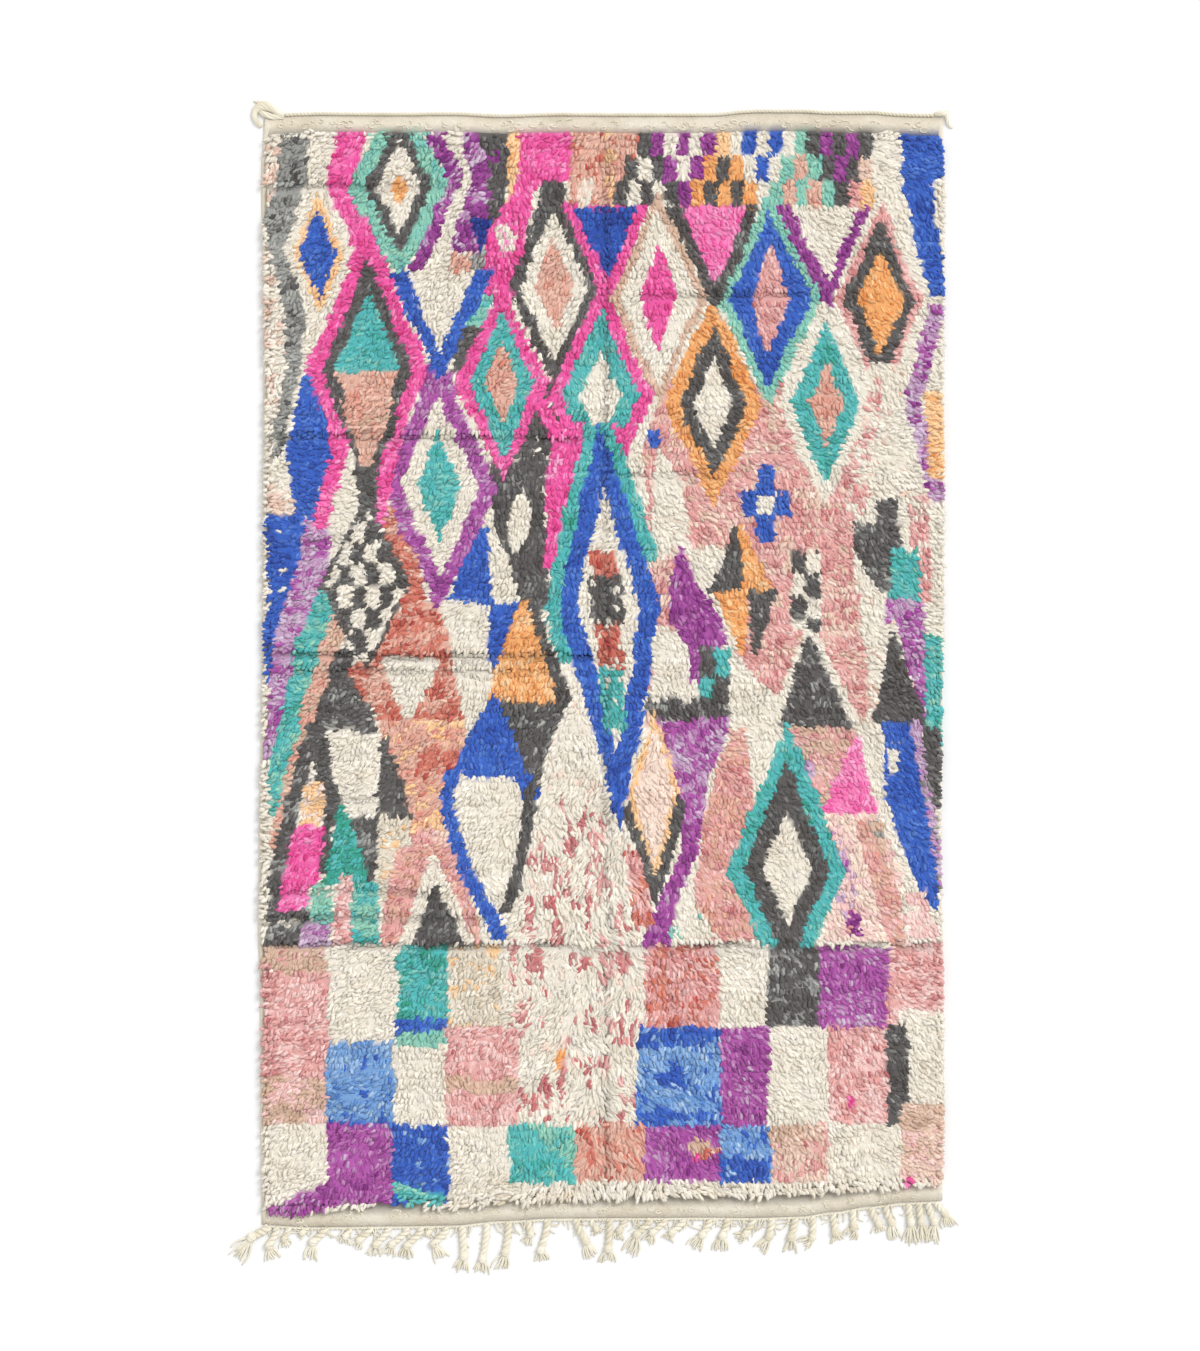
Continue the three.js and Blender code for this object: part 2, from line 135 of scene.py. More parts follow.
# Smooth seeded noise from -1 to 1: random values on a coarse grid, eased between its corners
def softNoise(x, y, cell, seed):
    grid = np.random.default_rng(seed).uniform(-1, 1, (97, 97))
    gx = np.asarray(x) / cell + 31.7
    gy = np.asarray(y) / cell + 17.3
    i = np.floor(gx).astype(int)
    j = np.floor(gy).astype(int)
    fx = smoothStep(gx - i)
    fy = smoothStep(gy - j)
    low = grid[i % 97, j % 97] * (1 - fx) + grid[(i + 1) % 97, j % 97] * fx
    high = grid[i % 97, (j + 1) % 97] * (1 - fx) + grid[(i + 1) % 97, (j + 1) % 97] * fx
    return low * (1 - fy) + high * fy


# Noise summed from rows of its size, its cell and its seed
def noiseLayers(x, y, rows):
    return sum(size * softNoise(x, y, cell, seed) for size, cell, seed in rows)


def addObject(name, data):
    thing = bpy.data.objects.new(name, data)
    bpy.context.scene.collection.objects.link(thing)
    return thing


# Camera

camera = {
    "lens": 85,
    "sensor": 36,
    "frameHeight": 3.067,
    "aimAcross": -0.0057,
    "aimAlong": -0.0163,
}

cameraData = bpy.data.cameras.new("Camera")
cameraData.lens = camera["lens"]
cameraData.sensor_width = camera["sensor"]
cameraData.clip_end = 100
cameraObject = addObject("Camera", cameraData)
cameraObject.location = (
    shiftX + camera["aimAcross"],
    shiftY + camera["aimAlong"],
    camera["frameHeight"] * camera["lens"] / camera["sensor"],
)
bpy.context.scene.camera = cameraObject
print("camera placed")


# Shader helpers


# sRGB values from 0 to 255 as a linear colour
def linear(colour):
    s = np.array(colour) / 255
    values = np.where(s <= 0.04045, s / 12.92, ((s + 0.055) / 1.055) ** 2.4)
    return (*[float(value) for value in values], 1.0)


# One socket of a material, on which +, - and * add Math nodes
class Term:
    def __init__(self, shader, socket):
        self.shader = shader
        self.socket = socket

    def math(self, operation, *values):
        return self.shader.add("ShaderNodeMath", {"operation": operation}, values)

    def __add__(self, other):
        return self.math("ADD", self, other)

    def __radd__(self, other):
        return self.math("ADD", other, self)

    def __sub__(self, other):
        return self.math("SUBTRACT", self, other)

    def __mul__(self, other):
        return self.math("MULTIPLY", self, other)

    def __rmul__(self, other):
        return self.math("MULTIPLY", other, self)

    def sin(self):
        return self.math("SINE", self)

    def clamped(self):
        return self.math("MINIMUM", self.math("MAXIMUM", self, 0.0), 1.0)


# One material: its node tree, and the Principled shader that its terms feed
class Shader:
    def __init__(self, name):
        self.material = bpy.data.materials.new(name)
        self.material.use_nodes = True
        self.tree = self.material.node_tree
        self.tree.nodes.clear()

    def add(self, kind, settings=None, inputs=None, output=0):
        node = self.tree.nodes.new(kind)
        for key, value in (settings or {}).items():
            if key == "stops":
                self.setStops(node.color_ramp.elements, value)
            else:
                setattr(node, key, value)
        pairs = inputs.items() if isinstance(inputs, dict) else enumerate(inputs or [])
        for key, value in pairs:
            if isinstance(value, Term):
                self.tree.links.new(value.socket, node.inputs[key])
            else:
                node.inputs[key].default_value = value
        return Term(self, node.outputs[output]) if node.outputs else None

    def setStops(self, elements, stops):
        while len(elements) < len(stops):
            elements.new(0.5)
        for element, (position, colour) in zip(elements, stops):
            element.position = position
            element.color = linear(colour)

    def attribute(self, name, output="Fac"):
        return self.add("ShaderNodeAttribute", {"attribute_name": name}, output=output)

    def axis(self, vector, name):
        return self.add("ShaderNodeSeparateXYZ", inputs=[vector], output=name)

    def vector(self, x, y, z):
        return self.add("ShaderNodeCombineXYZ", inputs=[x, y, z])

    def noise(self, vector, scale, detail=2.0, roughness=0.5):
        inputs = {"Vector": vector, "Scale": scale, "Detail": detail, "Roughness": roughness}
        return self.add("ShaderNodeTexNoise", {"noise_dimensions": "3D"}, inputs)

    def ramp(self, factor, stops):
        return self.add("ShaderNodeValToRGB", {"stops": stops}, [factor])

    def mixed(self, factor, low, high):
        inputs = {0: factor, 6: low, 7: high}
        return self.add("ShaderNodeMix", {"data_type": "RGBA"}, inputs, output=2)

    def scaled(self, colour, factor):
        inputs = {"Vector": colour, "Scale": factor}
        return self.add("ShaderNodeVectorMath", {"operation": "SCALE"}, inputs)

    def bump(self, height, strength, distance):
        inputs = {"Strength": strength, "Distance": distance, "Height": height}
        return self.add("ShaderNodeBump", inputs=inputs)

    def finish(self, colour, roughness, normal=None, sheen=0.0):
        inputs = {
            "Base Color": colour,
            "Roughness": roughness,
            "Specular IOR Level": 0.2,
            "Sheen Weight": sheen,
            "Sheen Roughness": 0.6,
        }
        if normal:
            inputs["Normal"] = normal
        surface = self.add("ShaderNodeBsdfPrincipled", inputs=inputs)
        self.add("ShaderNodeOutputMaterial", inputs={"Surface": surface})
        return self.material


# Mesh helpers


# A mesh object from arrays: vertices, faces as a list of equal-sided arrays, smooth shaded
def meshPiece(name, vertices, faceGroups, material):
    mesh = bpy.data.meshes.new(name)
    sizes = np.concatenate([np.full(len(group), group.shape[1]) for group in faceGroups])
    loops = np.concatenate([group.ravel() for group in faceGroups])
    starts = np.concatenate([[0], np.cumsum(sizes)[:-1]])
    mesh.vertices.add(len(vertices))
    mesh.vertices.foreach_set("co", vertices.astype(np.float32).ravel())
    mesh.loops.add(len(loops))
    mesh.loops.foreach_set("vertex_index", loops.astype(np.int32))
    mesh.polygons.add(len(sizes))
    mesh.polygons.foreach_set("loop_start", starts.astype(np.int32))
    mesh.polygons.foreach_set("use_smooth", np.ones(len(sizes), dtype=bool))
    mesh.update(calc_edges=True)
    mesh.materials.append(material)
    piece = addObject(name, mesh)
    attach(piece, "root")
    return piece


def addFloats(piece, name, values):
    layer = piece.data.attributes.new(name, "FLOAT", "POINT")
    layer.data.foreach_set("value", values.astype(np.float32).ravel())


def addColours(piece, name, values):
    layer = piece.data.attributes.new(name, "FLOAT_COLOR", "POINT")
    opaque = np.concatenate([values, np.ones((len(values), 1))], axis=1)
    layer.data.foreach_set("color", opaque.astype(np.float32).ravel())


def addMap(piece, name, values):
    layer = piece.data.uv_layers.new(name=name)
    layer.data.foreach_set("uv", values.astype(np.float32).ravel())


# Rings of corners: side cos(a) wide + over sin(a) high, as an array (ring, corner, xyz)
def ringCorners(side, over, angles, wide, high):
    level = side[:, None, :] * np.cos(angles)[None, :, None] * wide[:, None, None]
    upright = over[:, None, :] * np.sin(angles)[None, :, None] * high[:, None, None]
    return level + upright


# The upward quads of a grid of points, and the grid's rim in order
def gridFaces(countU, countV):
    index = np.arange(countU * countV).reshape(countU, countV)
    corners = [index[:-1, :-1], index[1:, :-1], index[1:, 1:], index[:-1, 1:]]
    rim = np.concatenate([index[:, 0], index[-1, 1:], index[-2::-1, -1], index[0, -2:0:-1]])
    return np.stack(corners, axis=-1).reshape(-1, 4), rim


# Yarns: each has a ramp of dye lots, from its strongest to its most faded

yarns = {
    "ivory": [(0, (206, 191, 166)), (0.5, (230, 222, 207)), (1, (245, 240, 231))],
    "blush": [(0, (204, 172, 148)), (0.5, (228, 198, 182)), (1, (243, 223, 208))],
    "pink": [(0, (206, 40, 118)), (0.5, (236, 96, 168)), (1, (246, 168, 206))],
    "rose": [(0, (186, 102, 104)), (0.5, (222, 165, 160)), (1, (240, 208, 203))],
    "rust": [(0, (172, 64, 58)), (0.5, (208, 124, 106)), (1, (224, 184, 166))],
    "orange": [(0, (216, 126, 56)), (0.5, (237, 174, 112)), (1, (244, 206, 160))],
    "blue": [(0, (26, 40, 120)), (0.5, (54, 95, 187)), (1, (98, 142, 214))],
    "denim": [(0, (70, 118, 186)), (0.5, (116, 158, 208)), (1, (178, 202, 224))],
    "teal": [(0, (40, 148, 112)), (0.5, (84, 180, 181)), (1, (146, 200, 178))],
    "purple": [(0, (124, 38, 122)), (0.5, (175, 88, 165)), (1, (202, 182, 202))],
    "charcoal": [(0, (68, 59, 54)), (0.5, (97, 95, 94)), (1, (170, 170, 165))],
}

# Shades that the chart names: yarn, place on its ramp, spread from knot to knot
shades = {
    "ivory": ("ivory", 0.55, 0.12),
    "cream": ("ivory", 0.34, 0.14),
    "tan": ("blush", 0.12, 0.12),
    "blush": ("blush", 0.5, 0.22),
    "peach": ("blush", 0.86, 0.14),
    "pink": ("pink", 0.42, 0.2),
    "hotPink": ("pink", 0.68, 0.16),
    "lightPink": ("pink", 0.94, 0.1),
    "rose": ("rose", 0.5, 0.22),
    "paleRose": ("rose", 0.86, 0.14),
    "rust": ("rust", 0.42, 0.24),
    "salmon": ("rust", 0.88, 0.16),
    "orange": ("orange", 0.44, 0.2),
    "apricot": ("orange", 0.9, 0.14),
    "navy": ("blue", 0.14, 0.14),
    "deepBlue": ("blue", 0.34, 0.16),
    "blue": ("blue", 0.52, 0.16),
    "denim": ("denim", 0.52, 0.24),
    "green": ("teal", 0.16, 0.16),
    "teal": ("teal", 0.48, 0.18),
    "mint": ("teal", 0.9, 0.14),
    "purple": ("purple", 0.26, 0.2),
    "magenta": ("purple", 0.5, 0.2),
    "lilac": ("purple", 0.84, 0.16),
    "charcoal": ("charcoal", 0.4, 0.18),
    "slate": ("charcoal", 0.86, 0.14),
    "madder": ("rose", 0.14, 0.14),
}
shadeNames = list(shades)

# Design. The motifs are the ordinary ones of these rugs, each drawn by a formula

# Lozenges: centre x and d, then rings from the outside in as shade, half width, half height
headingLozenges = [
    (31, 16, [("mint", 11.5, 21.5), ("charcoal", 7.6, 15.5), ("ivory", 5.2, 10.4), ("orange", 2, 3.8)]),
    (13, 31, [("ivory", 8, 19), ("apricot", 5.8, 14), ("blue", 4.4, 10.4)]),
]
fieldLozenges = [
    (54.5, 60.5, [("pink", 10.8, 22), ("teal", 7.4, 17.5), ("salmon", 4.4, 9.5)]),
    (66.5, 38.5, [("charcoal", 10.6, 23), ("ivory", 8, 17), ("salmon", 4.7, 10.5)]),
    (77, 63.5, [("pink", 12, 26), ("teal", 9, 20), ("ivory", 5, 10.5)]),
    (115, 41.5, [("mint", 12, 24), ("blue", 9.4, 20), ("rose", 4.4, 13)]),
    (90, 41, [("tan", 11, 24), ("ivory", 9, 20.4), ("pink", 4.4, 12)]),
    (140.2, 42, [("rose", 10, 22.5), ("charcoal", 8.4, 18.4), ("orange", 5.6, 12)]),
    (127.8, 65, [("ivory", 11, 24), ("teal", 7.6, 18.4), ("salmon", 3.6, 9.6)]),
    (102.3, 65, [("orange", 11.3, 24), ("charcoal", 7.7, 17.5), ("ivory", 4.2, 10.6)]),
    (40.3, 84, [("magenta", 12.8, 29), ("ivory", 8.8, 20.5), ("teal", 4.8, 12.4)]),
]
footLozenges = [
    (89.3, 158, [("charcoal", 6.9, 22)]),
    (89, 153.5, [("apricot", 5.8, 19.5), ("peach", 4.6, 16)]),
    (119, 170.5, [("teal", 13.6, 32.5), ("charcoal", 9.8, 24.4), ("ivory", 5.8, 13)]),
]

# Bands: shade, rows of d, left, right, and in some of them the flecks and their share
headingBands = [
    ("blush", [(6, 0, 4), (20, 0, 4)], "ivory", 0.4),
    ("blush", [(30, 0, 3), (50, 0, 6), (66, 0, 3)], "ivory", 0.72),
    ("slate", [(5, 4, 11), (15, 3.5, 10), (22, 1, 8), (29, 1, 5.4), (35, 2.5, 7.7)], "charcoal", 0.16),
    ("slate", [(35, 2.5, 7.5), (45, 5, 10), (57, 6, 9.2), (70, 2.5, 5.7), (78, 2, 4)], "charcoal", 0.24),
    ("purple", [(3, 36.4, 40.6), (14, 41.5, 46), (28, 35.2, 42), (35, 33.6, 39)], "lilac", 0.3),
    ("ivory", [(3, 40.6, 45), (14, 45.6, 48.4), (28, 40, 44), (35, 36.5, 42)]),
    ("purple", [(3, 44.5, 49), (15, 47.5, 53), (24, 45, 52.5), (31, 42.8, 50)], "lilac", 0.35),
    ("charcoal", [(3, 48.6, 55.4), (13, 51.5, 55.4), (24, 52, 55)], "purple", 0.12),
    ("navy", [(23, 48.5, 52.5), (29.5, 49, 52.4)]),
    ("apricot", [(3, 55.4, 59), (21, 55.4, 59)], "orange", 0.3),
    ("rust", [(2.6, 69.5, 85.5), (20.5, 70, 85.5)], "salmon", 0.62),
    ("apricot", [(2.6, 77.5, 80.5), (20, 78, 81)], "salmon", 0.4),
    ("ivory", [(14.5, 71.6, 75), (20, 72, 75)], "blush", 0.3),
    ("pink", [(2.6, 58, 70), (14, 58, 70), (17, 57, 62), (25, 52, 60), (33, 50.5, 60), (41, 50, 57)],
     "hotPink", 0.2),
    ("ivory", [(24, 54, 56), (27, 53.5, 58), (31, 54, 57)], "lightPink", 0.3),
    ("pink", [(3, 17, 24), (11, 15.5, 22), (16, 15, 22), (25, 20, 26.5), (36, 22, 29)], "hotPink", 0.25),
    ("blue", [(2.6, 145.3, 155), (14.4, 145.3, 155)]),
    ("blue", [(14.4, 145, 151.5), (23, 146.6, 152.4), (32, 149.4, 154.5), (41, 152, 155)]),
    ("charcoal", [(14.5, 63.6, 68.4), (20, 63, 69), (27, 60, 73)]),
]

# Checks at the heading: top, bottom, left end and the cells from left to right
checkRows = [
    (3.4, 9.2, 85.3, "charcoal purple ivory purple ivory purple apricot ivory blue ivory blue ivory "
                     "mint charcoal purple charcoal purple charcoal"),
    (9.2, 14.8, 82.4, "charcoal ivory charcoal purple ivory purple orange charcoal orange ivory blue "
                      "ivory mint salmon mint charcoal purple charcoal blush"),
    (14.8, 20.6, 79.8, "charcoal ivory charcoal ivory charcoal purple orange charcoal orange "
                       "charcoal orange ivory mint salmon mint salmon mint charcoal rose apricot"),
]
checkWidth = 2.95

# Hanging triangles: shade, left, right, top, tip x, tip d
hangingTriangles = [
    ("pink", 68.5, 88, 20, 78.5, 43),
    ("deepBlue", 71, 85.3, 20.5, 78.5, 36),
    ("charcoal", 91.5, 113, 20.6, 103, 44),
    ("hotPink", 94.5, 110, 20.6, 103, 38.5),
    ("purple", 116.5, 137.5, 20.6, 128.5, 45),
    ("ivory", 119.4, 134.7, 20.6, 129, 38),
    ("blue", 29, 52.8, 35.4, 40, 60.5),
    ("ivory", 33.4, 48.3, 35.4, 40, 54),
]

middleBands = [
    ("rose", [(60, 92, 126), (75, 86, 138), (100, 88, 141), (138, 87, 140)], "blush", 0.34),
    ("charcoal", [(60, 58, 69), (84, 56, 66)], "ivory", 0.1),
    ("charcoal", [(46, 43, 50), (63, 44, 51)]),
    ("charcoal", [(78, 52, 64), (93, 52, 64.5), (98, 55, 65), (106, 56.5, 65), (111.5, 60, 64.5)]),
    ("ivory", [(84, 58.6, 59.4), (89, 56, 61.6), (95, 56, 60.5), (99.5, 57, 58)]),
    ("ivory", [(91, 48.5, 51.5), (100, 50, 56), (110.5, 51, 58)]),
    ("blue", [(93, 46, 51), (104, 44.5, 51.5), (110.8, 43, 52)]),
    ("rust", [(89, 27.5, 32), (101, 28.5, 35), (112, 31, 38)], "salmon", 0.25),
    ("purple", [(57, 36, 43.5), (63, 36, 43.5)], "magenta", 0.3),
    ("mint", [(39, 46, 52.8), (48, 45.6, 51)], "teal", 0.3),
    ("salmon", [(28, 41.5, 47.5), (35.5, 41.5, 47.5)], "ivory", 0.2),
    ("slate", [(29, 47.5, 51.5), (35.5, 47.5, 51.5)], "mint", 0.3),
    ("pink", [(60, 58, 62), (74, 66, 70), (90, 64.5, 69)], "lightPink", 0.2),
]

# The lozenge at the left, whose lower outline crosses into two legs
leftLozenge = (24, 58, [("pink", 13.8, 35), ("charcoal", 10.4, 25.6), ("teal", 7.7, 19)])

# The lower half of its core
lowerCore = {"x": 24, "d": 58, "halfWide": 7.8, "halfHigh": 19}

leftLegs = [
    ("ivory", [(74, 17, 30), (92, 14, 26)]),
    ("pink", [(68, 14.6, 20), (76, 15.6, 19), (84, 13.6, 17.4), (93, 11, 15)], "hotPink", 0.3),
    ("pink", [(66, 30.6, 34.4), (76, 28, 31.6), (86, 25.6, 29), (93, 25, 27.8)], "hotPink", 0.3),
    ("charcoal", [(68, 17.8, 31.6), (76, 20.4, 28), (84, 21.6, 26), (93, 22, 26)]),
    ("salmon", [(64, 17.6, 30.6), (72, 20.4, 27.6), (80, 23.2, 25)], "tan", 0.14),
]
leftBands = [
    ("blue", [(58, 10, 11.5), (63, 8.5, 14), (72, 6, 16), (78, 5.6, 15.6), (84, 6.6, 13.3), (92, 8, 12)]),
    ("blush", [(84, 0.5, 6), (91, 1, 8)], "ivory", 0.5),
    ("blue", [(90.4, 1, 11.5), (97, 1, 10), (112, 1, 5.5), (128, 1, 3)], "ivory", 0.1),
    ("lilac", [(91, 10.2, 15.6), (100, 8.2, 15.2), (115, 4, 11.4), (127, 1.5, 8.4), (146, 1, 3.4)],
     "magenta", 0.34),
    ("teal", [(107, 13, 17.5), (120, 8, 13.4), (132, 5, 10.4), (147, 2, 7.4), (158, 1.5, 4)], "mint", 0.35),
    ("salmon", [(113, 15.4, 19.5), (126, 11.6, 16), (139, 8.5, 12), (150, 5, 8.6), (166, 1.5, 5)],
     "tan", 0.4),
    ("charcoal", [(121, 17, 20), (128, 15.2, 22.5), (139.5, 11.3, 26.7)], "slate", 0.2),
    ("blue", [(110, 51, 58), (124, 51.5, 58)]),
    ("ivory", [(110.5, 42.5, 51.5), (130, 44.5, 52), (144, 47, 49)]),
    ("rust", [(110, 33, 40), (118, 26, 42), (124, 22, 43), (126, 20, 43), (138, 27, 46)], "salmon", 0.45),
    ("ivory", [(123, 27, 40.6), (138, 32.4, 33.4)]),
    ("salmon", [(137, 26.4, 46), (140, 27, 46.8), (146, 28, 46)], "apricot", 0.35),
    ("salmon", [(145, 28.4, 46), (153, 31, 44), (164, 33, 42)], "apricot", 0.4),
    ("rust", [(143.4, 36, 46), (150, 34, 43)], "salmon", 0.4),
    ("rose", [(162, 32, 42), (166, 31, 44), (174, 31, 45)], "blush", 0.3),
    ("charcoal", [(112, 60, 63), (128, 62, 69), (132.5, 62, 70)]),
    ("orange", [(109, 58.5, 59.5), (120, 55, 63.5), (133, 51, 67)], "apricot", 0.3),
    ("charcoal", [(132.5, 52, 69.5), (142, 56.5, 65.5), (152, 60, 62)], "slate", 0.1),
    ("blue", [(131, 52, 53), (144, 46, 58), (149.5, 43, 61)]),
]
lowerBands = [
    ("charcoal", [(138, 10, 13.4), (158, 4.5, 8.5), (171, 2, 6.5), (180, 1, 4)], "slate", 0.2),
    ("charcoal", [(138, 10, 14), (150, 12.4, 16), (161, 15.6, 20)]),
    ("apricot", [(151, 10, 14), (161, 9, 15.4)], "peach", 0.4),
    ("ivory", [(140, 14, 26.5), (148, 16, 27.5), (159, 19, 29)]),
    ("charcoal", [(141, 26.6, 28.5), (150, 26.5, 31.5), (159, 26, 34.5)]),
    ("charcoal", [(159, 14.6, 16.6), (172, 12, 15)]),
    ("pink", [(161, 7.4, 14.8), (170, 5.4, 13.4), (180, 3.5, 11.3)], "hotPink", 0.4),
    ("charcoal", [(159, 18.5, 27), (178, 22, 27)], "slate", 0.3),
    ("cream", [(159, 27, 34), (178, 26, 34)], "apricot", 0.3),
    ("green", [(156.5, 18, 19), (175, 13.4, 25.4)], "teal", 0.3),
    ("mint", [(174, 11, 17.5), (184, 10, 17)], "ivory", 0.25),
    ("mint", [(174, 20.5, 27), (188, 21, 27)], "teal", 0.5),
    ("paleRose", [(172, 17.5, 20.5), (188, 16, 21)], "rose", 0.4),
    ("charcoal", [(180, 1, 11), (188, 1, 10)], "slate", 0.2),
    ("ivory", [(182, 1, 9), (183.6, 1, 9)]),
    ("lilac", [(183, 9, 16), (188.5, 9, 16)]),
    ("rose", [(165, 31, 45), (188, 27, 50)], "salmon", 0.4),
    ("ivory", [(167, 38.5, 39.5), (188, 31, 48)]),
    ("charcoal", [(174.5, 38.7, 39.7), (188, 34, 45.5)]),
    ("blue", [(148, 42.4, 61), (154, 40.8, 63), (157, 40.8, 60), (172, 45, 52), (180, 49.5, 54),
              (187, 52, 56)]),
    ("ivory", [(149.6, 45, 57.5), (156, 43.6, 60.8), (170, 48, 58), (180, 53.4, 54.6)]),
    ("charcoal", [(150, 60.6, 62.6), (158, 59.6, 62), (166, 58, 60.4), (174, 56, 58.6), (181, 54.4, 56.4)]),
]
centreCone = [
    ("ivory", [(133, 69, 71), (150, 63.5, 78), (178, 57, 84), (206, 53, 87), (242, 53, 92)], "peach", 0.12),
]
coneDrips = [
    ("rose", [(150, 64, 76), (178, 58, 82), (206, 55, 86), (242, 56, 86)], 0.27),
    ("madder", [(152, 64, 74), (178, 58, 74), (206, 56, 76), (236, 58, 84)], 0.24),
    ("madder", [(182, 80, 86), (206, 81, 88), (240, 81, 88)], 0.2),
]
rightBands = [
    ("ivory", [(76, 90, 91), (84, 88, 95.5), (100, 89, 98)], "blush", 0.08),
    ("ivory", [(56, 138, 150), (80, 134, 147), (98, 134, 149), (138, 138, 149)], "blush", 0.1),
    ("rose", [(60, 138, 140.6), (70, 136.5, 140), (90, 132, 136)], "ivory", 0.45),
    ("lilac", [(43, 151, 155), (59, 147, 151), (65, 145.3, 149), (74, 148, 152), (87, 151, 155)],
     "purple", 0.34),
    ("apricot", [(62, 150, 154), (72, 150.5, 154.5), (82, 151, 154.5)], "orange", 0.3),
    ("rose", [(86, 146.6, 151), (110, 147, 152)], "ivory", 0.35),
    ("ivory", [(98, 97, 106), (121, 99, 107), (133, 105, 118), (138, 106, 116), (151, 110, 112)]),
    ("purple", [(98, 94.6, 95.6), (106, 92.3, 99), (112.7, 92.5, 103.6), (119.5, 94.5, 105.5)],
     "magenta", 0.35),
    ("ivory", [(116, 88.5, 93), (120.6, 88.5, 98.6), (132.5, 88, 99)]),
    ("purple", [(119.5, 97.6, 104), (128, 96.6, 98.6)], "magenta", 0.3),
    ("charcoal", [(120.6, 99, 102.5), (126.8, 99, 102.5)]),
    ("teal", [(120.6, 102.5, 106), (126.8, 102.5, 106)]),
    ("teal", [(126.8, 99, 102.5), (132.5, 99, 102.5)]),
    ("charcoal", [(126.8, 102.5, 106), (132.5, 102.5, 106)]),
    ("charcoal", [(132, 87.4, 106), (137, 87.4, 106)], "slate", 0.16),
    ("magenta", [(136.5, 88.5, 106.5), (151, 93, 101.4), (160, 95.8, 100)], "lilac", 0.42),
    ("purple", [(160, 95.6, 100), (168, 94.4, 98.2), (178, 90, 95), (188, 86, 93)], "magenta", 0.4),
    ("charcoal", [(87, 138.6, 144), (92, 139, 144)]),
    ("charcoal", [(92, 134, 144.5), (99, 134.4, 144.5), (108, 140, 142)], "slate", 0.12),
    ("teal", [(98, 143, 148.6), (109.5, 142, 149.5)], "mint", 0.2),
    ("lilac", [(109.5, 141, 150), (118, 142, 151), (127, 147, 152), (138, 149, 152)], "magenta", 0.45),
    ("teal", [(118, 150.6, 154.5), (138, 150, 154.8), (150, 151.6, 154.8)], "mint", 0.3),
    ("ivory", [(115, 123.5, 124.5), (140, 113, 137)]),
    ("charcoal", [(118, 123.5, 124.5), (138.5, 116.6, 133.4)], "slate", 0.14),
    ("ivory", [(114, 142.6, 143.4), (140, 135, 151)], "blush", 0.2),
    ("charcoal", [(117, 142.8, 143.6), (138.5, 137.4, 150.6)]),
    ("charcoal", [(93, 107.4, 108), (108, 101.6, 109.4)]),
    ("orange", [(93, 108, 109), (108, 109.4, 115.6)], "apricot", 0.15),
    ("orange", [(108, 103, 110.4), (122, 108, 109.4)], "apricot", 0.2),
    ("charcoal", [(108, 110.4, 116.4), (122, 110.8, 112)]),
    ("blue", [(71, 87.4, 90.6), (75.5, 87.4, 90.6)]),
    ("blue", [(79.5, 112.3, 116.5), (97, 112.3, 116.5)]),
    ("blue", [(85, 109, 120), (91, 109, 120)]),
    ("ivory", [(85.6, 112.5, 116.3), (90.4, 112.5, 116.3)]),
]
rightLowerBands = [
    ("rose", [(166, 82, 86), (174, 83, 88), (184, 84, 89)], "rust", 0.35),
    ("rose", [(139, 106, 109.6), (150, 103, 111), (160, 100, 112), (187, 97, 112)], "salmon", 0.45),
    ("ivory", [(175, 95.2, 96), (186.5, 92.5, 103.5)], "mint", 0.08),
    ("tan", [(138.5, 118, 134), (160, 122, 136)], "rose", 0.5),
    ("lilac", [(147, 121, 125), (151.5, 121, 125)]),
    ("peach", [(158, 126, 144), (187, 128, 146)], "paleRose", 0.35),
    ("lilac", [(161, 126, 131), (170, 129, 134), (182, 131, 136)], "paleRose", 0.5),
    ("slate", [(160, 137, 141), (168, 139, 142)], "tan", 0.6),
    ("rose", [(160, 134, 137), (172, 138, 143), (188, 142, 148)], "salmon", 0.45),
    ("purple", [(180, 132.6, 136), (186, 132.6, 136)], "rose", 0.2),
    ("hotPink", [(140.6, 134, 135), (158, 126.5, 140)], "lightPink", 0.16),
    ("ivory", [(137, 134, 143), (158, 140, 144.5), (176, 146.5, 150)]),
    ("lilac", [(137, 146.5, 149), (150, 149, 152), (176, 152.4, 155)], "slate", 0.24),
    ("charcoal", [(138.6, 150, 154), (150, 151, 155), (157, 152.6, 155)]),
    ("blue", [(137.6, 140.5, 147), (155, 142, 150.4), (168, 146, 152.4), (180, 150, 153.4)]),
    ("ivory", [(143, 141.8, 145), (148.6, 142.4, 144.6)]),
    ("paleRose", [(176, 146, 150), (188, 146, 154)], "ivory", 0.4),
]

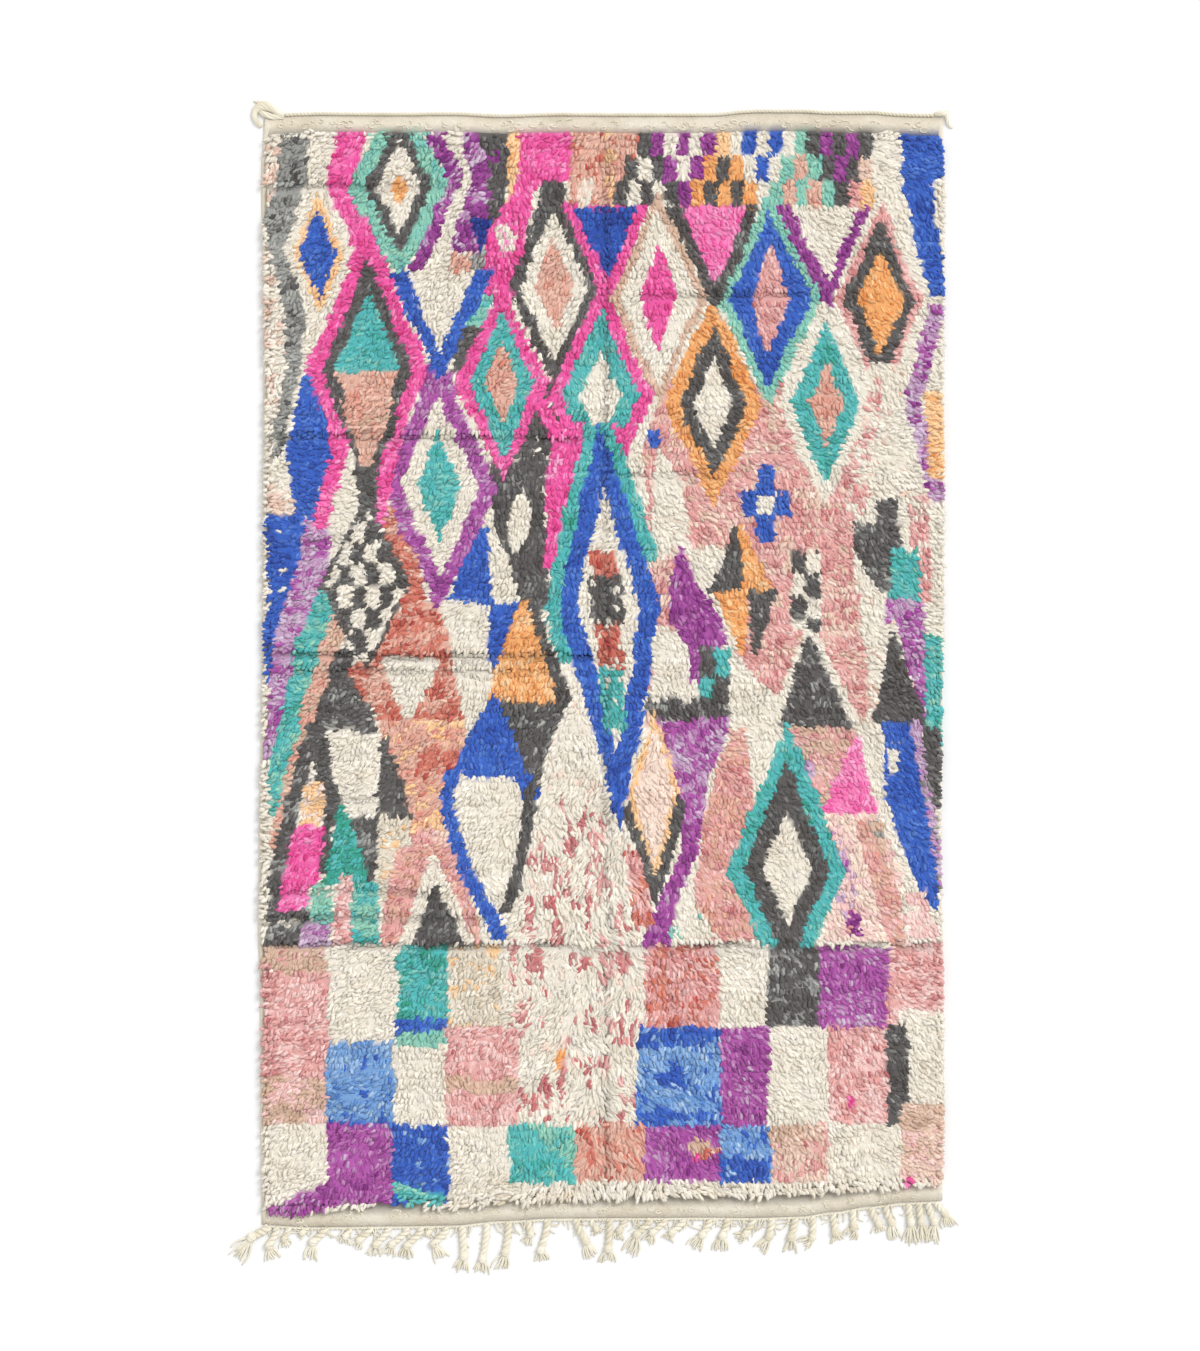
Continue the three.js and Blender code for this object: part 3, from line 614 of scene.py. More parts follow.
# Colour blocks at the foot: top, bottom, then each block's shade, left, right, and in some of
# them the flecks and their share
blockRows = [
    (188, 206.5, [("tan", 0, 15, "rose", 0.2), ("ivory", 15, 31), ("teal", 31, 42, "green", 0.25),
                  ("cream", 42, 54, "apricot", 0.2), ("rose", 87, 103.5, "rust", 0.3),
                  ("ivory", 103.5, 114.4), ("charcoal", 114.4, 126.5, "slate", 0.35),
                  ("magenta", 126.5, 142, "lilac", 0.12), ("rose", 142, 155, "paleRose", 0.4)]),
    (194, 218, [("rose", 0, 15, "paleRose", 0.35)]),
    (206.5, 228.5, [("ivory", 31, 42), ("rose", 42, 58, "paleRose", 0.4),
                    ("denim", 85, 104, "blue", 0.2), ("magenta", 104, 115, "purple", 0.2),
                    ("ivory", 115, 128.5), ("rose", 128.5, 142, "paleRose", 0.4),
                    ("charcoal", 142, 146.6), ("ivory", 146.6, 155)]),
    (202.6, 206.5, [("ivory", 144.8, 155)]),
    (205, 208, [("blue", 31, 42)]),
    (208, 211, [("mint", 31, 42)]),
    (206.5, 210.5, [("blue", 85, 104, "denim", 0.3)]),
    (216, 219, [("blue", 89, 95)]),
    (225, 229, [("blue", 85, 104, "denim", 0.4)]),
    (210, 228, [("denim", 14.5, 30, "blue", 0.05)]),
    (227.5, 231.5, [("blue", 13, 30, "denim", 0.2)]),
    (218, 221, [("tan", 42, 58)]),
    (218, 229.5, [("tan", 0, 14.5, "paleRose", 0.4)]),
    (228.5, 247, [("ivory", 0, 15), ("magenta", 15, 29.5, "purple", 0.15),
                  ("blue", 29.5, 42.5, "denim", 0.1), ("ivory", 42.5, 56.5),
                  ("teal", 56.5, 71, "mint", 0.15), ("salmon", 71, 87, "rust", 0.3),
                  ("magenta", 87, 103.5, "purple", 0.25), ("denim", 103.5, 116, "blue", 0.2),
                  ("blush", 116, 128.5, "rose", 0.4), ("ivory", 128.5, 145.3),
                  ("blush", 145.3, 155, "paleRose", 0.4)]),
    (236, 243.5, [("blue", 103.5, 115.5, "denim", 0.2)]),
    (228.5, 232.6, [("tan", 115.5, 127, "blush", 0.3)]),
    (224, 229.8, [("tan", 145, 155, "blush", 0.3)]),
    (241.5, 249, [("ivory", 44, 152, "cream", 0.4)]),
]
footBands = [
    ("magenta", [(242, 14.5, 29), (246, 4, 21), (248, 0, 14), (249.6, 0, 4)], "purple", 0.3),
    ("mint", [(241.8, 29.5, 31), (244.4, 29.5, 41), (247, 33, 42)], "teal", 0.5),
    ("tan", [(231.5, 97.4, 98), (234, 96, 103.5), (237, 99, 100)], "rust", 0.3),
    ("mint", [(228.5, 61, 71), (233, 65, 71), (238.5, 70, 71)], "teal", 0.2),
    ("pink", [(222, 132.6, 134.6), (224, 132.6, 134.6)]),
    ("pink", [(235.5, 98, 99.6), (237, 98, 99.6)]),
    ("pink", [(240.8, 146, 147.6), (242.8, 146, 147.6)]),
    ("orange", [(212, 66.5, 68), (216, 66.5, 68)]),
    ("blue", [(178, 49.5, 51), (186, 51.5, 55)]),
]
smallChecks = {"left": 120, "right": 127, "top": 98.5, "bottom": 117, "cellWide": 3.4, "cellHigh": 5.2}

hand = {
    "sway": 0.55,        # how far a drawn edge wanders, in cm
    "swayCell": 8.0,
    "tremble": 0.35,
    "trembleCell": 2.4,
    "fleckAcross": 3.2,  # the size of a fleck
    "fleckDown": 1.5,
    "streakWidth": 1.5,
    "streakLength": 3.0,
    "streakGrain": 0.2,
    "fleckShare": 0.42,
    "grainShare": 0.3,
    "evenAcross": 0.3,   # how far the edges of checks wander
    "evenDown": 0.4,
    "evenCell": 6.0,
    "seed": 5,
}


# Below 1 inside a lozenge: |x - cx| / halfWide + |d - cd| / halfHigh
def lozengeReach(x, d, cx, cd, halfWide, halfHigh):
    return np.abs(x - cx) / halfWide + np.abs(d - cd) / halfHigh


def inBlock(x, d, left, right, top, bottom):
    return (x >= left) & (x < right) & (d >= top) & (d < bottom)


# The design at places x and d: each motif covers what lies under it
class Design:
    def __init__(self, x, d, seed):
        sway = hand["sway"]
        tremble = hand["tremble"]
        self.x = x + sway * softNoise(x, d, hand["swayCell"], seed)
        self.x += tremble * softNoise(x, d, hand["trembleCell"], seed + 1)
        self.d = d + sway * softNoise(x, d, hand["swayCell"], seed + 2)
        self.d += tremble * softNoise(x, d, hand["trembleCell"], seed + 3)
        self.evenX = x + hand["evenAcross"] * softNoise(x, d, hand["evenCell"], seed + 7)
        self.evenD = d + hand["evenDown"] * softNoise(x, d, hand["evenCell"], seed + 8)
        self.fleck = softNoise(x, d * hand["fleckAcross"] / hand["fleckDown"], hand["fleckAcross"], seed + 4)
        self.grain = np.random.default_rng(seed + 5).uniform(-1, 1, len(x))
        self.streak = softNoise(x, d / hand["streakLength"], hand["streakWidth"], seed + 6)
        self.shade = np.full(len(x), shadeNames.index("ivory"))

    # Covers a region, with flecks of another shade where the fleck noise is low
    def cover(self, inside, shade, flecks=None, share=0):
        self.shade[inside] = shadeNames.index(shade)
        if flecks:
            mixed = 0.5 + hand["fleckShare"] * self.fleck + hand["grainShare"] * self.grain
            self.shade[inside & (mixed < share)] = shadeNames.index(flecks)

    def lozenge(self, cx, cd, rings):
        for shade, halfWide, halfHigh in rings:
            self.cover(lozengeReach(self.x, self.d, cx, cd, halfWide, halfHigh) < 1, shade)

    # Between a left and a right edge that run straight from row to row
    def between(self, rows):
        down, left, right = np.array(rows, dtype=float).T
        inside = (self.d >= down[0]) & (self.d < down[-1])
        return inside & (self.x >= np.interp(self.d, down, left)) & (self.x < np.interp(self.d, down, right))

    def band(self, shade, rows, flecks=None, share=0):
        self.cover(self.between(rows), shade, flecks, share)

    # Streaks that run down the rug, inside a band
    def drips(self, shade, rows, share):
        streaks = 0.5 + 0.5 * self.streak + hand["streakGrain"] * self.grain
        self.cover(self.between(rows) & (streaks < share), shade)

    # Alternate cells of a grid, inside a region
    def alternate(self, inside, shade, x, d, cellWide, cellHigh):
        cell = np.floor((self.evenX - x) / cellWide) + np.floor((self.evenD - d) / cellHigh)
        self.cover(inside & (cell % 2 == 0), shade)

    def triangle(self, shade, left, right, top, tipX, tipD):
        self.band(shade, [(top, left, right), (tipD, tipX, tipX)])

    def checks(self, top, bottom, left, cells):
        for i, shade in enumerate(cells.split()):
            start = left + i * checkWidth
            inside = inBlock(self.evenX, self.evenD, start, start + checkWidth, top, bottom)
            self.cover(inside, shade)


# The great stretched lozenge in the middle: nested outlines about a leaning axis
centreMotif = {
    "top": 70,
    "middle": 111,
    "bottom": 163,
    "axisTop": 76.5,
    "axisBottom": 81.5,
    "blockShift": 0.5,
    "blockFlecks": 0.1,
}

# Its rings: shade, half width, offset, and the d of its end at the left and at the right
centreRings = [
    ("pink", 11.8, 5.8, 102, 74), ("teal", 11.8, 3.0, 124, 100),
    ("blue", 11.8, 0, 170, 170), ("ivory", 10.6, -3.6, 152, 152),
]

# Its blocks: shade, top, bottom, half width
centreBlocks = [
    ("rust", 98.5, 104, 2.8), ("charcoal", 104, 115, 3.6), ("rust", 115, 125, 3), ("teal", 125, 139, 2.8),
]


# Half width is halfWide times a share that falls in a straight line from the middle to the
# top and the bottom, plus the outline's offset. A ring ends at its own d on either side
def drawCentre(design):
    m = centreMotif
    share = (design.d - m["top"]) / (m["bottom"] - m["top"])
    axis = m["axisTop"] + (m["axisBottom"] - m["axisTop"]) * share
    rise = (design.d - m["top"]) / (m["middle"] - m["top"])
    fall = (m["bottom"] - design.d) / (m["bottom"] - m["middle"])
    body = np.minimum(rise, fall)
    for shade, halfWide, offset, lastLeft, lastRight in centreRings:
        away = design.x - axis
        last = np.where(away < 0, lastLeft, lastRight)
        inside = (np.abs(away) < halfWide * body + offset) & (body > 0) & (design.d < last)
        design.cover(inside, shade)
    for shade, top, bottom, halfWide in centreBlocks:
        inside = (design.d >= top) & (design.d < bottom)
        inside &= np.abs(design.x - axis + m["blockShift"]) < halfWide
        design.cover(inside, shade, "ivory", m["blockFlecks"])


# The lozenge of checks: alternate ivory cells on charcoal
checkLozenge = {
    "x": 23.6,
    "d": 106.5,
    "halfWide": 9.4,
    "halfHigh": 18,
    "outline": 1.1,
    "cellWide": 3.1,
    "cellHigh": 4.9,
}


def drawCheckLozenge(design):
    c = checkLozenge
    reach = lozengeReach(design.evenX, design.evenD, c["x"], c["d"], c["halfWide"], c["halfHigh"])
    design.cover(reach < c["outline"], "charcoal")
    design.alternate(reach < 1, "ivory", c["x"], c["d"], c["cellWide"], c["cellHigh"])


def drawLowerCore(design):
    c = lowerCore
    reach = lozengeReach(design.x, design.d, c["x"], c["d"], c["halfWide"], c["halfHigh"])
    design.cover((reach < 1) & (design.d > c["d"]), "salmon")


def drawSmallChecks(design):
    c = smallChecks
    inside = inBlock(design.x, design.d, c["left"], c["right"], c["top"], c["bottom"])
    design.cover(inside, "ivory")
    design.alternate(inside, "charcoal", c["left"], c["top"], c["cellWide"], c["cellHigh"])


# Every motif in order, as the number of a shade for each place
def drawDesign(x, d):
    design = Design(x, d, hand["seed"])
    for row in middleBands + leftBands + headingBands:
        design.band(*row)
    for row in checkRows:
        design.checks(*row)
    for row in [*headingLozenges, *fieldLozenges, leftLozenge]:
        design.lozenge(*row)
    drawLowerCore(design)
    for row in leftLegs:
        design.band(*row)
    for row in hangingTriangles:
        design.triangle(*row)
    for row in rightBands + centreCone + lowerBands + rightLowerBands:
        design.band(*row)
    for row in coneDrips:
        design.drips(*row)
    drawSmallChecks(design)
    drawCheckLozenge(design)
    drawCentre(design)
    for row in footLozenges:
        design.lozenge(*row)
    for top, bottom, blocks in blockRows:
        for shade, left, right, *flecks in blocks:
            design.band(shade, [(top, left, right), (bottom, left, right)], *flecks)
    for row in footBands:
        design.band(*row)
    return design.shade


# The colour of each shade at its usual dye lot, one row for each name
def shadeColours():
    ramps = np.array([[linear(stop[1])[:3] for stop in yarns[shades[name][0]]] for name in shadeNames])
    lot = np.array([shades[name][1] * 2 for name in shadeNames])
    low = np.minimum(lot.astype(int), 1)
    share = (lot - low)[:, None]
    every = np.arange(len(lot))
    return ramps[every, low] * (1 - share) + ramps[every, low + 1] * share


# Pile: locks of wool that lean over their knots, row above row

pile = {
    "rows": 168,
    "columns": 280,
    "reach": 22.5 * mm,      # from the knot to the tip, seen from above
    "shortest": 12 * mm,
    "longest": 34 * mm,
    "lift": 9.0 * mm,
    "lowest": 3 * mm,
    "highest": 12.5 * mm,
    "bodyHeight": 9.4 * mm,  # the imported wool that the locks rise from
    "rootHeight": 2.6 * mm,
    "width": 9.5 * mm,
    "thick": 5.6 * mm,
    "reachSpread": 0.15,
    "liftSpread": 0.17,
    "widthSpread": 0.26,
    "rowSpread": 0.05,       # of the lift, from row to row
    "seenShare": 0.52,       # where along its reach a lock shows most
    "edgeRoom": -1.5 * mm,   # from a tip to the side edge, past it where below 0
    "leastRoom": 2 * mm,
    "leastReach": 8 * mm,
    "turnSpread": 20,        # degrees, from lock to lock
    "upSpread": 1.1,         # radians, of the locks at the heading
    "curl": 2.8 * mm,
    "rowSway": 4.5 * mm,
    "rowSwayCell": 9.0,
    "rowWave": 2.4 * mm,
    "rowWaveCell": 2.6,
    "knotJitter": 1.9 * mm,
    "footRoom": 22 * mm,     # how far the roots move up from the foot band, at most
    "footRoomFrom": -350 * mm,
    "footRoomOver": 400 * mm,
    "footRoomDown": 300 * mm,
    "foldedUp": 120,         # short locks that stick out over the heading band
    "folded": 260,           # locks that fall over the foot band
    "looseAcross": 0.985,    # of the half width
    "headLoose": 0.991,      # of the half length
    "upShare": 0.5,          # of the reach
    "downShares": (0.5, 1.15),
    "seenUp": 4,             # cm of the design that the upward locks skip
    "mostLocks": 12000,      # in one piece
    "rowSeed": 71,
    "seed": 11,
}

# Noise, each row a size, a cell in centimetres and a seed: the turn of the lay in degrees,
# the share by which the locks' lift differs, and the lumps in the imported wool
layNoise = [(42, 7.0, 41), (29.4, 2.6, 42)]
liftNoise = [(0.1, 5.0, 51), (0.09, 1.8, 52)]
lumpNoise = [(0.9 * mm, 1.6, 91), (0.9 * mm, 4.0, 92)]

# Dye: its spread from lock to lock, its abrash in streaks across the rug, and the tone
dyeing = {
    "spread": 0.7,
    "abrash": 1.3,
    "abrashWide": 3,         # times as wide as it is deep
    "abrashFine": (0.6, 2.2, 61),
    "abrashBroad": (0.4, 6.0, 62),
    "toneSpread": 0.07,
    "toneNoise": (0.05, 3.0, 63),
}

# Sections of a lock: share of its reach, of its lift, of its width, of its thickness, pitch
lockSections = np.array([
    (0.28, 0.82, 1.00, 1.00, 28),
    (0.70, 1.00, 0.82, 0.82, -6),
])
lockSides = 4
lockAlong = [0.0, 0.34, 0.74, 1.0]
tipLift = 0.74

# Where the pile is combed another way: x, d, reach across, reach down, degrees from downwards
combings = np.array([
    (8, 118, 12, 34, -86), (10, 165, 12, 22, -66), (26, 98, 12, 18, -80), (12, 236, 16, 12, -38),
    (149, 96, 9, 48, 80), (147, 36, 9, 20, 58), (60, 216, 9, 34, -24), (92, 214, 8, 34, 26),
    (130, 172, 14, 16, 30), (42, 66, 10, 16, -30),
])

# Fold creases across the rug: along, from, to, depth, then the one down its middle
crossCreases = [
    (1093, -755, -345, 7), (848, 85, 450, 6), (525, -755, -30, 8), (441, 20, 260, 5), (285, -740, -560, 4),
    (30, -755, -5, 8), (-4, -700, -120, 5), (-300, -740, -430, 4), (-505, -755, -360, 5),
    (-564, -755, -250, 7), (-628, -755, 755, 8), (-1000, -740, -560, 4),
]
centreCrease = (8, -1190, 1190, 6)

crease = {
    "halfWidth": 8 * mm,
    "fade": 60 * mm,         # over which it starts and ends
    "sway": 4 * mm,
    "swayCell": 7.0,
    "strength": 0.72,
    "strengthSpread": 0.4,
    "strengthCell": 5.0,
    "deepest": 8,            # the depth that counts as full
    "depth": 0.8,            # the share of the body's height that a full crease takes
    "liftDepth": 0.52,
    "reachDepth": 0.3,
    # Painted shade in the creases: how much darker the locks and the body under them are at a full crease
    "shade": 0.5,
    "bodyPaintedShade": 0.625,
    "over": 3 * mm,          # how far most locks above it reach past it
    "overShare": 0.6,
}


# How far a crease wanders off its straight line, at places along its run
def creaseSway(run, line):
    return crease["sway"] * softNoise(run / cm, np.full(len(run), line * 0.1), crease["swayCell"], 45)


# How far the pile is parted at places in the field, from 0 to 1
def creaseAt(x, y):
    across = x - shiftX
    along = y - shiftY
    lines = [(along, across, row) for row in crossCreases] + [(across, along, centreCrease)]
    parted = np.zeros(len(x))
    for place, run, (line, first, last, depth) in lines:
        place = place + creaseSway(run, line)
        inside = np.clip((run - first * mm) / crease["fade"] + 0.5, 0, 1)
        inside *= np.clip((last * mm - run) / crease["fade"] + 0.5, 0, 1)
        near = np.exp(-((place - line * mm) / crease["halfWidth"]) ** 2)
        uneven = softNoise(run / cm, np.full(len(run), line * 0.1), crease["strengthCell"], 46)
        strength = crease["strength"] + crease["strengthSpread"] * uneven
        parted = np.maximum(parted, near * inside * strength * depth / crease["deepest"])
    return parted


# The lay's outward lean by the sides, about the chart's middle, and the weight of the combing
lay = {"outwards": 0.62, "middle": 77, "reach": 70, "down": 0.55, "combed": 1.6}


# The direction of the lay at chart places, in radians from downwards, positive to the right.
# It leans outwards towards the sides, and more or less so in the combed places
def layAt(x, d, rng):
    towardsX = lay["outwards"] * np.clip((x - lay["middle"]) / lay["reach"], -1, 1)
    towardsY = np.full(len(x), lay["down"])
    for cx, cd, reachX, reachD, turn in combings:
        weight = np.exp(-((x - cx) / reachX) ** 2 - ((d - cd) / reachD) ** 2) * lay["combed"]
        towardsX += weight * math.sin(math.radians(turn))
        towardsY += weight * math.cos(math.radians(turn))
    turn = np.degrees(np.arctan2(towardsX, towardsY))
    turn += noiseLayers(x, d, layNoise)
    turn += pile["turnSpread"] * rng.normal(0, 1, len(x))
    return np.radians(turn)


# Towards the foot the roots move up from the band, the more so at the right
def footRoom(x, fromFoot):
    share = smoothStep(np.clip((x - pile["footRoomFrom"]) / pile["footRoomOver"], 0, 1))
    return pile["footRoom"] * share * np.clip(1 - fromFoot / pile["footRoomDown"], 0, 1)


# Roots of all the knots: even rows and columns, every other row moved half a knot, and
# then the loose locks along the foot and the heading
def placeKnots(rng):
    rows = np.arange(pile["rows"])
    columns = np.arange(pile["columns"])
    row, column = np.meshgrid(rows, columns, indexing="ij")
    half = 0.5 * (row % 2)
    u = (column + 0.25 + half) / pile["columns"] * 2 - 1
    v = (row + 0.6) / pile["rows"] * 2 - 1
    u, v, row = u.ravel(), v.ravel(), row.ravel()
    x, y = fieldPoint(u, v)
    y += pile["rowSway"] * softNoise(x / cm, row * 1.0, pile["rowSwayCell"], 43)
    y += pile["rowWave"] * softNoise(x / cm, row * 9.0, pile["rowWaveCell"], 47)
    y += footRoom(x, (v + 1) * rug["halfLength"])
    x += pile["knotJitter"] * rng.uniform(-1, 1, len(x))
    y += pile["knotJitter"] * rng.uniform(-1, 1, len(x)) * 0.7
    loose = rng.uniform(-pile["looseAcross"], pile["looseAcross"], pile["folded"] + pile["foldedUp"])
    atFoot = np.arange(len(loose)) < pile["folded"]
    looseX, looseY = fieldPoint(loose, np.where(atFoot, -1.0, pile["headLoose"]))
    looseY += footRoom(looseX, np.where(atFoot, 0.0, 2 * rug["halfLength"]))
    looseRow = np.where(atFoot, 0, pile["rows"] - 1)
    return np.concatenate([x, looseX]), np.concatenate([y, looseY]), np.concatenate([row, looseRow])


# Vertices of every lock as an array (lock, vertex, xyz): a root, two four-sided rings and
# a tip. A ring's corner is centre + side cos(a) width / 2 + over sin(a) thickness / 2
def lockVertices(knots):
    forward = np.stack([np.sin(knots["turn"]), -np.cos(knots["turn"]), np.zeros(knots["count"])], axis=1)
    side = np.stack([-forward[:, 1], forward[:, 0], np.zeros(knots["count"])], axis=1)
    up = np.array([0.0, 0.0, 1.0])
    rootLevel = np.full(knots["count"], rug["thickness"] + pile["rootHeight"])
    root = np.stack([knots["x"], knots["y"], rootLevel], axis=1)
    reach = knots["reach"][:, None]
    lift = knots["lift"][:, None]
    curl = knots["curl"][:, None]
    layers = [root[:, None, :]]
    angles = np.arange(lockSides) / lockSides * 2 * np.pi - np.pi / 2
    for share, rise, wide, deep, pitch in lockSections:
        slope = math.radians(pitch)
        over = up * math.cos(slope) - forward * math.sin(slope)
        centre = root + forward * reach * share + up * lift * rise + side * curl * share ** 2
        ring = ringCorners(side, over, angles, knots["width"] * wide / 2, knots["thick"] * deep / 2)
        layers.append(centre[:, None, :] + ring)
    tip = root + forward * reach + up * lift * tipLift + side * curl
    layers.append(tip[:, None, :])
    return np.concatenate(layers, axis=1)


# Places of corners around and along a lock, from the numbers of its sides and sections
def cornerPlaces(faces):
    return np.array([[(a / lockSides, lockAlong[b]) for a, b in face] for face in faces])


# Faces of one lock: a fan at its root, a band of quads, a fan at its tip, with the
# place of each corner around and along the lock
def lockFaces():
    fans, fanPlaces, quads, quadPlaces = [], [], [], []
    low = 1
    high = low + lockSides
    last = high + lockSides
    for k in range(lockSides):
        n = (k + 1) % lockSides
        fans.append((0, low + n, low + k))
        fanPlaces.append([(k + 0.5, 0), (k + 1, 1), (k, 1)])
        fans.append((last, high + k, high + n))
        fanPlaces.append([(k + 0.5, 3), (k, 2), (k + 1, 2)])
        quads.append((low + k, low + n, high + n, high + k))
        quadPlaces.append([(k, 1), (k + 1, 1), (k + 1, 2), (k, 2)])
    return np.array(fans), cornerPlaces(fanPlaces), np.array(quads), cornerPlaces(quadPlaces)


# Repeats around and along a lock of its fibres, its plies and the grooves between them
woolLook = {
    "fibresAround": 8,
    "fibresAlong": 1.6,
    "pliesAround": 3.0,
    "pliesAlong": 0.5,
    "pliesTwist": 0.9,
    "groovesAround": 3,
    "groovesTwist": 5,
    # Painted shade at the root: the share of the colour left at the root, and how fast full colour returns
    # along the lock
    "rootPaintedShade": 0.84,
    "rootFade": 2.4,
    "bump": 0.9 * mm,
}


# Wool in a lock: the dye ramp, streaks that run along the fibres, and painted shade that darkens its root
def woolMaterial(name, stops):
    w = woolLook
    shader = Shader(name)
    place = shader.add("ShaderNodeUVMap", {"uv_map": "Fibre"})
    around = shader.axis(place, "X")
    along = shader.axis(place, "Y")
    strand = shader.attribute("strand")
    across = around * w["fibresAround"] + strand * 71
    fibres = shader.noise(shader.vector(across, along * w["fibresAlong"], strand * 13), 1.0, 3.0, 0.6)
    wound = around * w["pliesAround"] + along * w["pliesTwist"]
    plies = shader.noise(shader.vector(wound, along * w["pliesAlong"], strand * 29), 1.0, 1.0)
    dye = (shader.attribute("dye") + (fibres - 0.5) * 0.34).clamped()
    # Painted shade: the colour darkens towards the lock's root, and the lock's tone also carries painted
    # shade in the creases
    fromRoot = (along * w["rootFade"]).clamped()
    shade = shader.attribute("tone") * (w["rootPaintedShade"] + (1 - w["rootPaintedShade"]) * fromRoot)
    shade = shade * (0.8 + fibres * 0.4)
    colour = shader.scaled(shader.ramp(dye, stops), shade)
    turns = around * (w["groovesAround"] * 2 * math.pi) + along * w["groovesTwist"] + strand * 40
    grooves = turns.sin() * 0.5 + 0.5
    height = fibres * 0.6 + plies + grooves * 0.5
    normal = shader.bump(height, 0.7, w["bump"])
    return shader.finish(colour, 0.84 + fibres * 0.14, normal, 0.12)


# Most locks above a fold crease end just past it, and the others lie over it
def roomAtCreases(x, y, reach, rng):
    for line, first, last, _depth in crossCreases:
        across = x - shiftX
        gap = y - shiftY + creaseSway(across, line) - line * mm
        near = (gap > 0) & (gap < reach) & (across > first * mm) & (across < last * mm)
        near &= rng.uniform(0, 1, len(x)) < crease["overShare"]
        shorter = np.maximum(gap + crease["over"], pile["shortest"])
        reach = np.where(near, np.minimum(reach, shorter), reach)
    return reach


# A lock that leans over a side edge is shortened, so that its tip ends by the edge
def roomAtSides(x, y, turn, reach):
    along = y - shiftY
    toLeft = x - shiftX - eased(sideEdges, 1, along)
    toRight = eased(sideEdges, 2, along) - x + shiftX
    room = np.where(np.sin(turn) < 0, toLeft, toRight)
    room = np.maximum(room - pile["edgeRoom"], pile["leastRoom"])
    return np.minimum(reach, np.maximum(room / (np.abs(np.sin(turn)) + 0.01), pile["leastReach"]))


# Locks are longer down the middle of the foot half: chart x, half width, from d, over, how much
longLocks = {"x": 76, "halfWidth": 14, "from": 130, "over": 40, "more": 0.5}


# Every lock's root, direction and sizes
def growLocks(rng):
    x, y, row = placeKnots(rng)
    count = len(x)
    chartX, chartD = chartPlace(x, y)
    parted = creaseAt(x, y)
    turn = layAt(chartX, chartD, rng)
    upwards = np.arange(count) >= count - pile["foldedUp"]
    turn = np.where(upwards, math.pi + pile["upSpread"] * rng.uniform(-1, 1, count), turn)
    middle = np.exp(-((chartX - longLocks["x"]) / longLocks["halfWidth"]) ** 2)
    longer = longLocks["more"] * middle * np.clip((chartD - longLocks["from"]) / longLocks["over"], 0, 1)
    loose = np.arange(count) >= count - pile["foldedUp"] - pile["folded"]
    share = np.where(upwards, pile["upShare"], np.where(loose, rng.uniform(*pile["downShares"], count), 1))
    share *= 1 + longer + pile["reachSpread"] * rng.normal(0, 1, count)
    reach = pile["reach"] * share * (1 - crease["reachDepth"] * parted)
    reach = roomAtSides(x, y, turn, np.clip(reach, pile["shortest"], pile["longest"]))
    rowRandom = np.random.default_rng(pile["rowSeed"])
    rowLift = pile["rowSpread"] * rowRandom.normal(0, 1, pile["rows"])[row]
    lumps = noiseLayers(chartX, chartD, liftNoise) + rowLift
    lift = pile["lift"] * (1 + lumps + pile["liftSpread"] * rng.uniform(-1, 1, count))
    lift *= 1 - crease["liftDepth"] * parted
    return {
        "count": count,
        "x": x,
        "y": y,
        "turn": turn,
        "reach": roomAtCreases(x, y, reach, rng),
        "lift": np.clip(lift, pile["lowest"], pile["highest"]),
        "curl": pile["curl"] * rng.normal(0, 1, count),
        "width": pile["width"] * (1 + pile["widthSpread"] * rng.uniform(-1, 1, count)),
        "thick": pile["thick"] * (1 + pile["widthSpread"] * rng.uniform(-1, 1, count)),
        "chartX": chartX,
        "chartD": chartD,
        "parted": parted,
        "upwards": upwards,
    }


# Each lock's shade, dye lot, and tone with painted shade in the creases. A lock takes the design where it
# shows most
def dyeLocks(knots, rng):
    seen = knots["reach"] * pile["seenShare"]
    seenX = knots["x"] + np.sin(knots["turn"]) * seen
    seenY = knots["y"] - np.cos(knots["turn"]) * seen
    seenX, seenD = chartPlace(seenX, seenY)
    seenD[knots["upwards"]] += pile["seenUp"]
    shade = drawDesign(seenX, seenD)
    lots = np.array([(shades[name][1], shades[name][2]) for name in shadeNames])
    across = knots["chartX"]
    down = knots["chartD"]
    abrash = noiseLayers(across / dyeing["abrashWide"], down, [dyeing["abrashFine"]])
    abrash += noiseLayers(across, down, [dyeing["abrashBroad"]])
    own = rng.normal(0, dyeing["spread"], knots["count"])
    dye = lots[shade, 0] + lots[shade, 1] * (own + abrash * dyeing["abrash"])
    tone = 1 + dyeing["toneSpread"] * rng.normal(0, 1, knots["count"])
    tone += noiseLayers(across, down, [dyeing["toneNoise"]])
    # Painted shade: the locks in a crease are darker
    tone *= 1 - crease["shade"] * knots["parted"]
    return shade, dye, tone


# Empty rim of each lock's cell on the map that has a place for every lock
cellMargin = 0.07


# Some locks as one piece, with the fibre's places and the values of each lock
def lockPiece(name, slotName, material, vertices, values):
    total, perLock = vertices.shape[:2]
    fans, fanPlaces, quads, quadPlaces = lockFaces()
    first = np.arange(total)[:, None, None] * perLock
    groups = [(fans[None] + first).reshape(-1, 3), (quads[None] + first).reshape(-1, 4)]
    piece = meshPiece(name, vertices.reshape(-1, 3), groups, material)
    fibre = [np.broadcast_to(places, (total, *places.shape)) for places in (fanPlaces, quadPlaces)]
    addMap(piece, "Fibre", np.concatenate([places.reshape(-1, 2) for places in fibre]))
    cells = int(np.ceil(np.sqrt(total)))
    corner = np.stack([np.arange(total) % cells, np.arange(total) // cells], axis=1)
    own = [corner[:, None, None, :] + cellMargin + (1 - 2 * cellMargin) * places for places in fibre]
    spread = np.array([cells, np.ceil(total / cells)])
    addMap(piece, "OFBake", np.concatenate([places.reshape(-1, 2) for places in own]) / spread)
    for key, each in values.items():
        addFloats(piece, key, np.repeat(each, perLock))
    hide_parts("pile")
    return piece


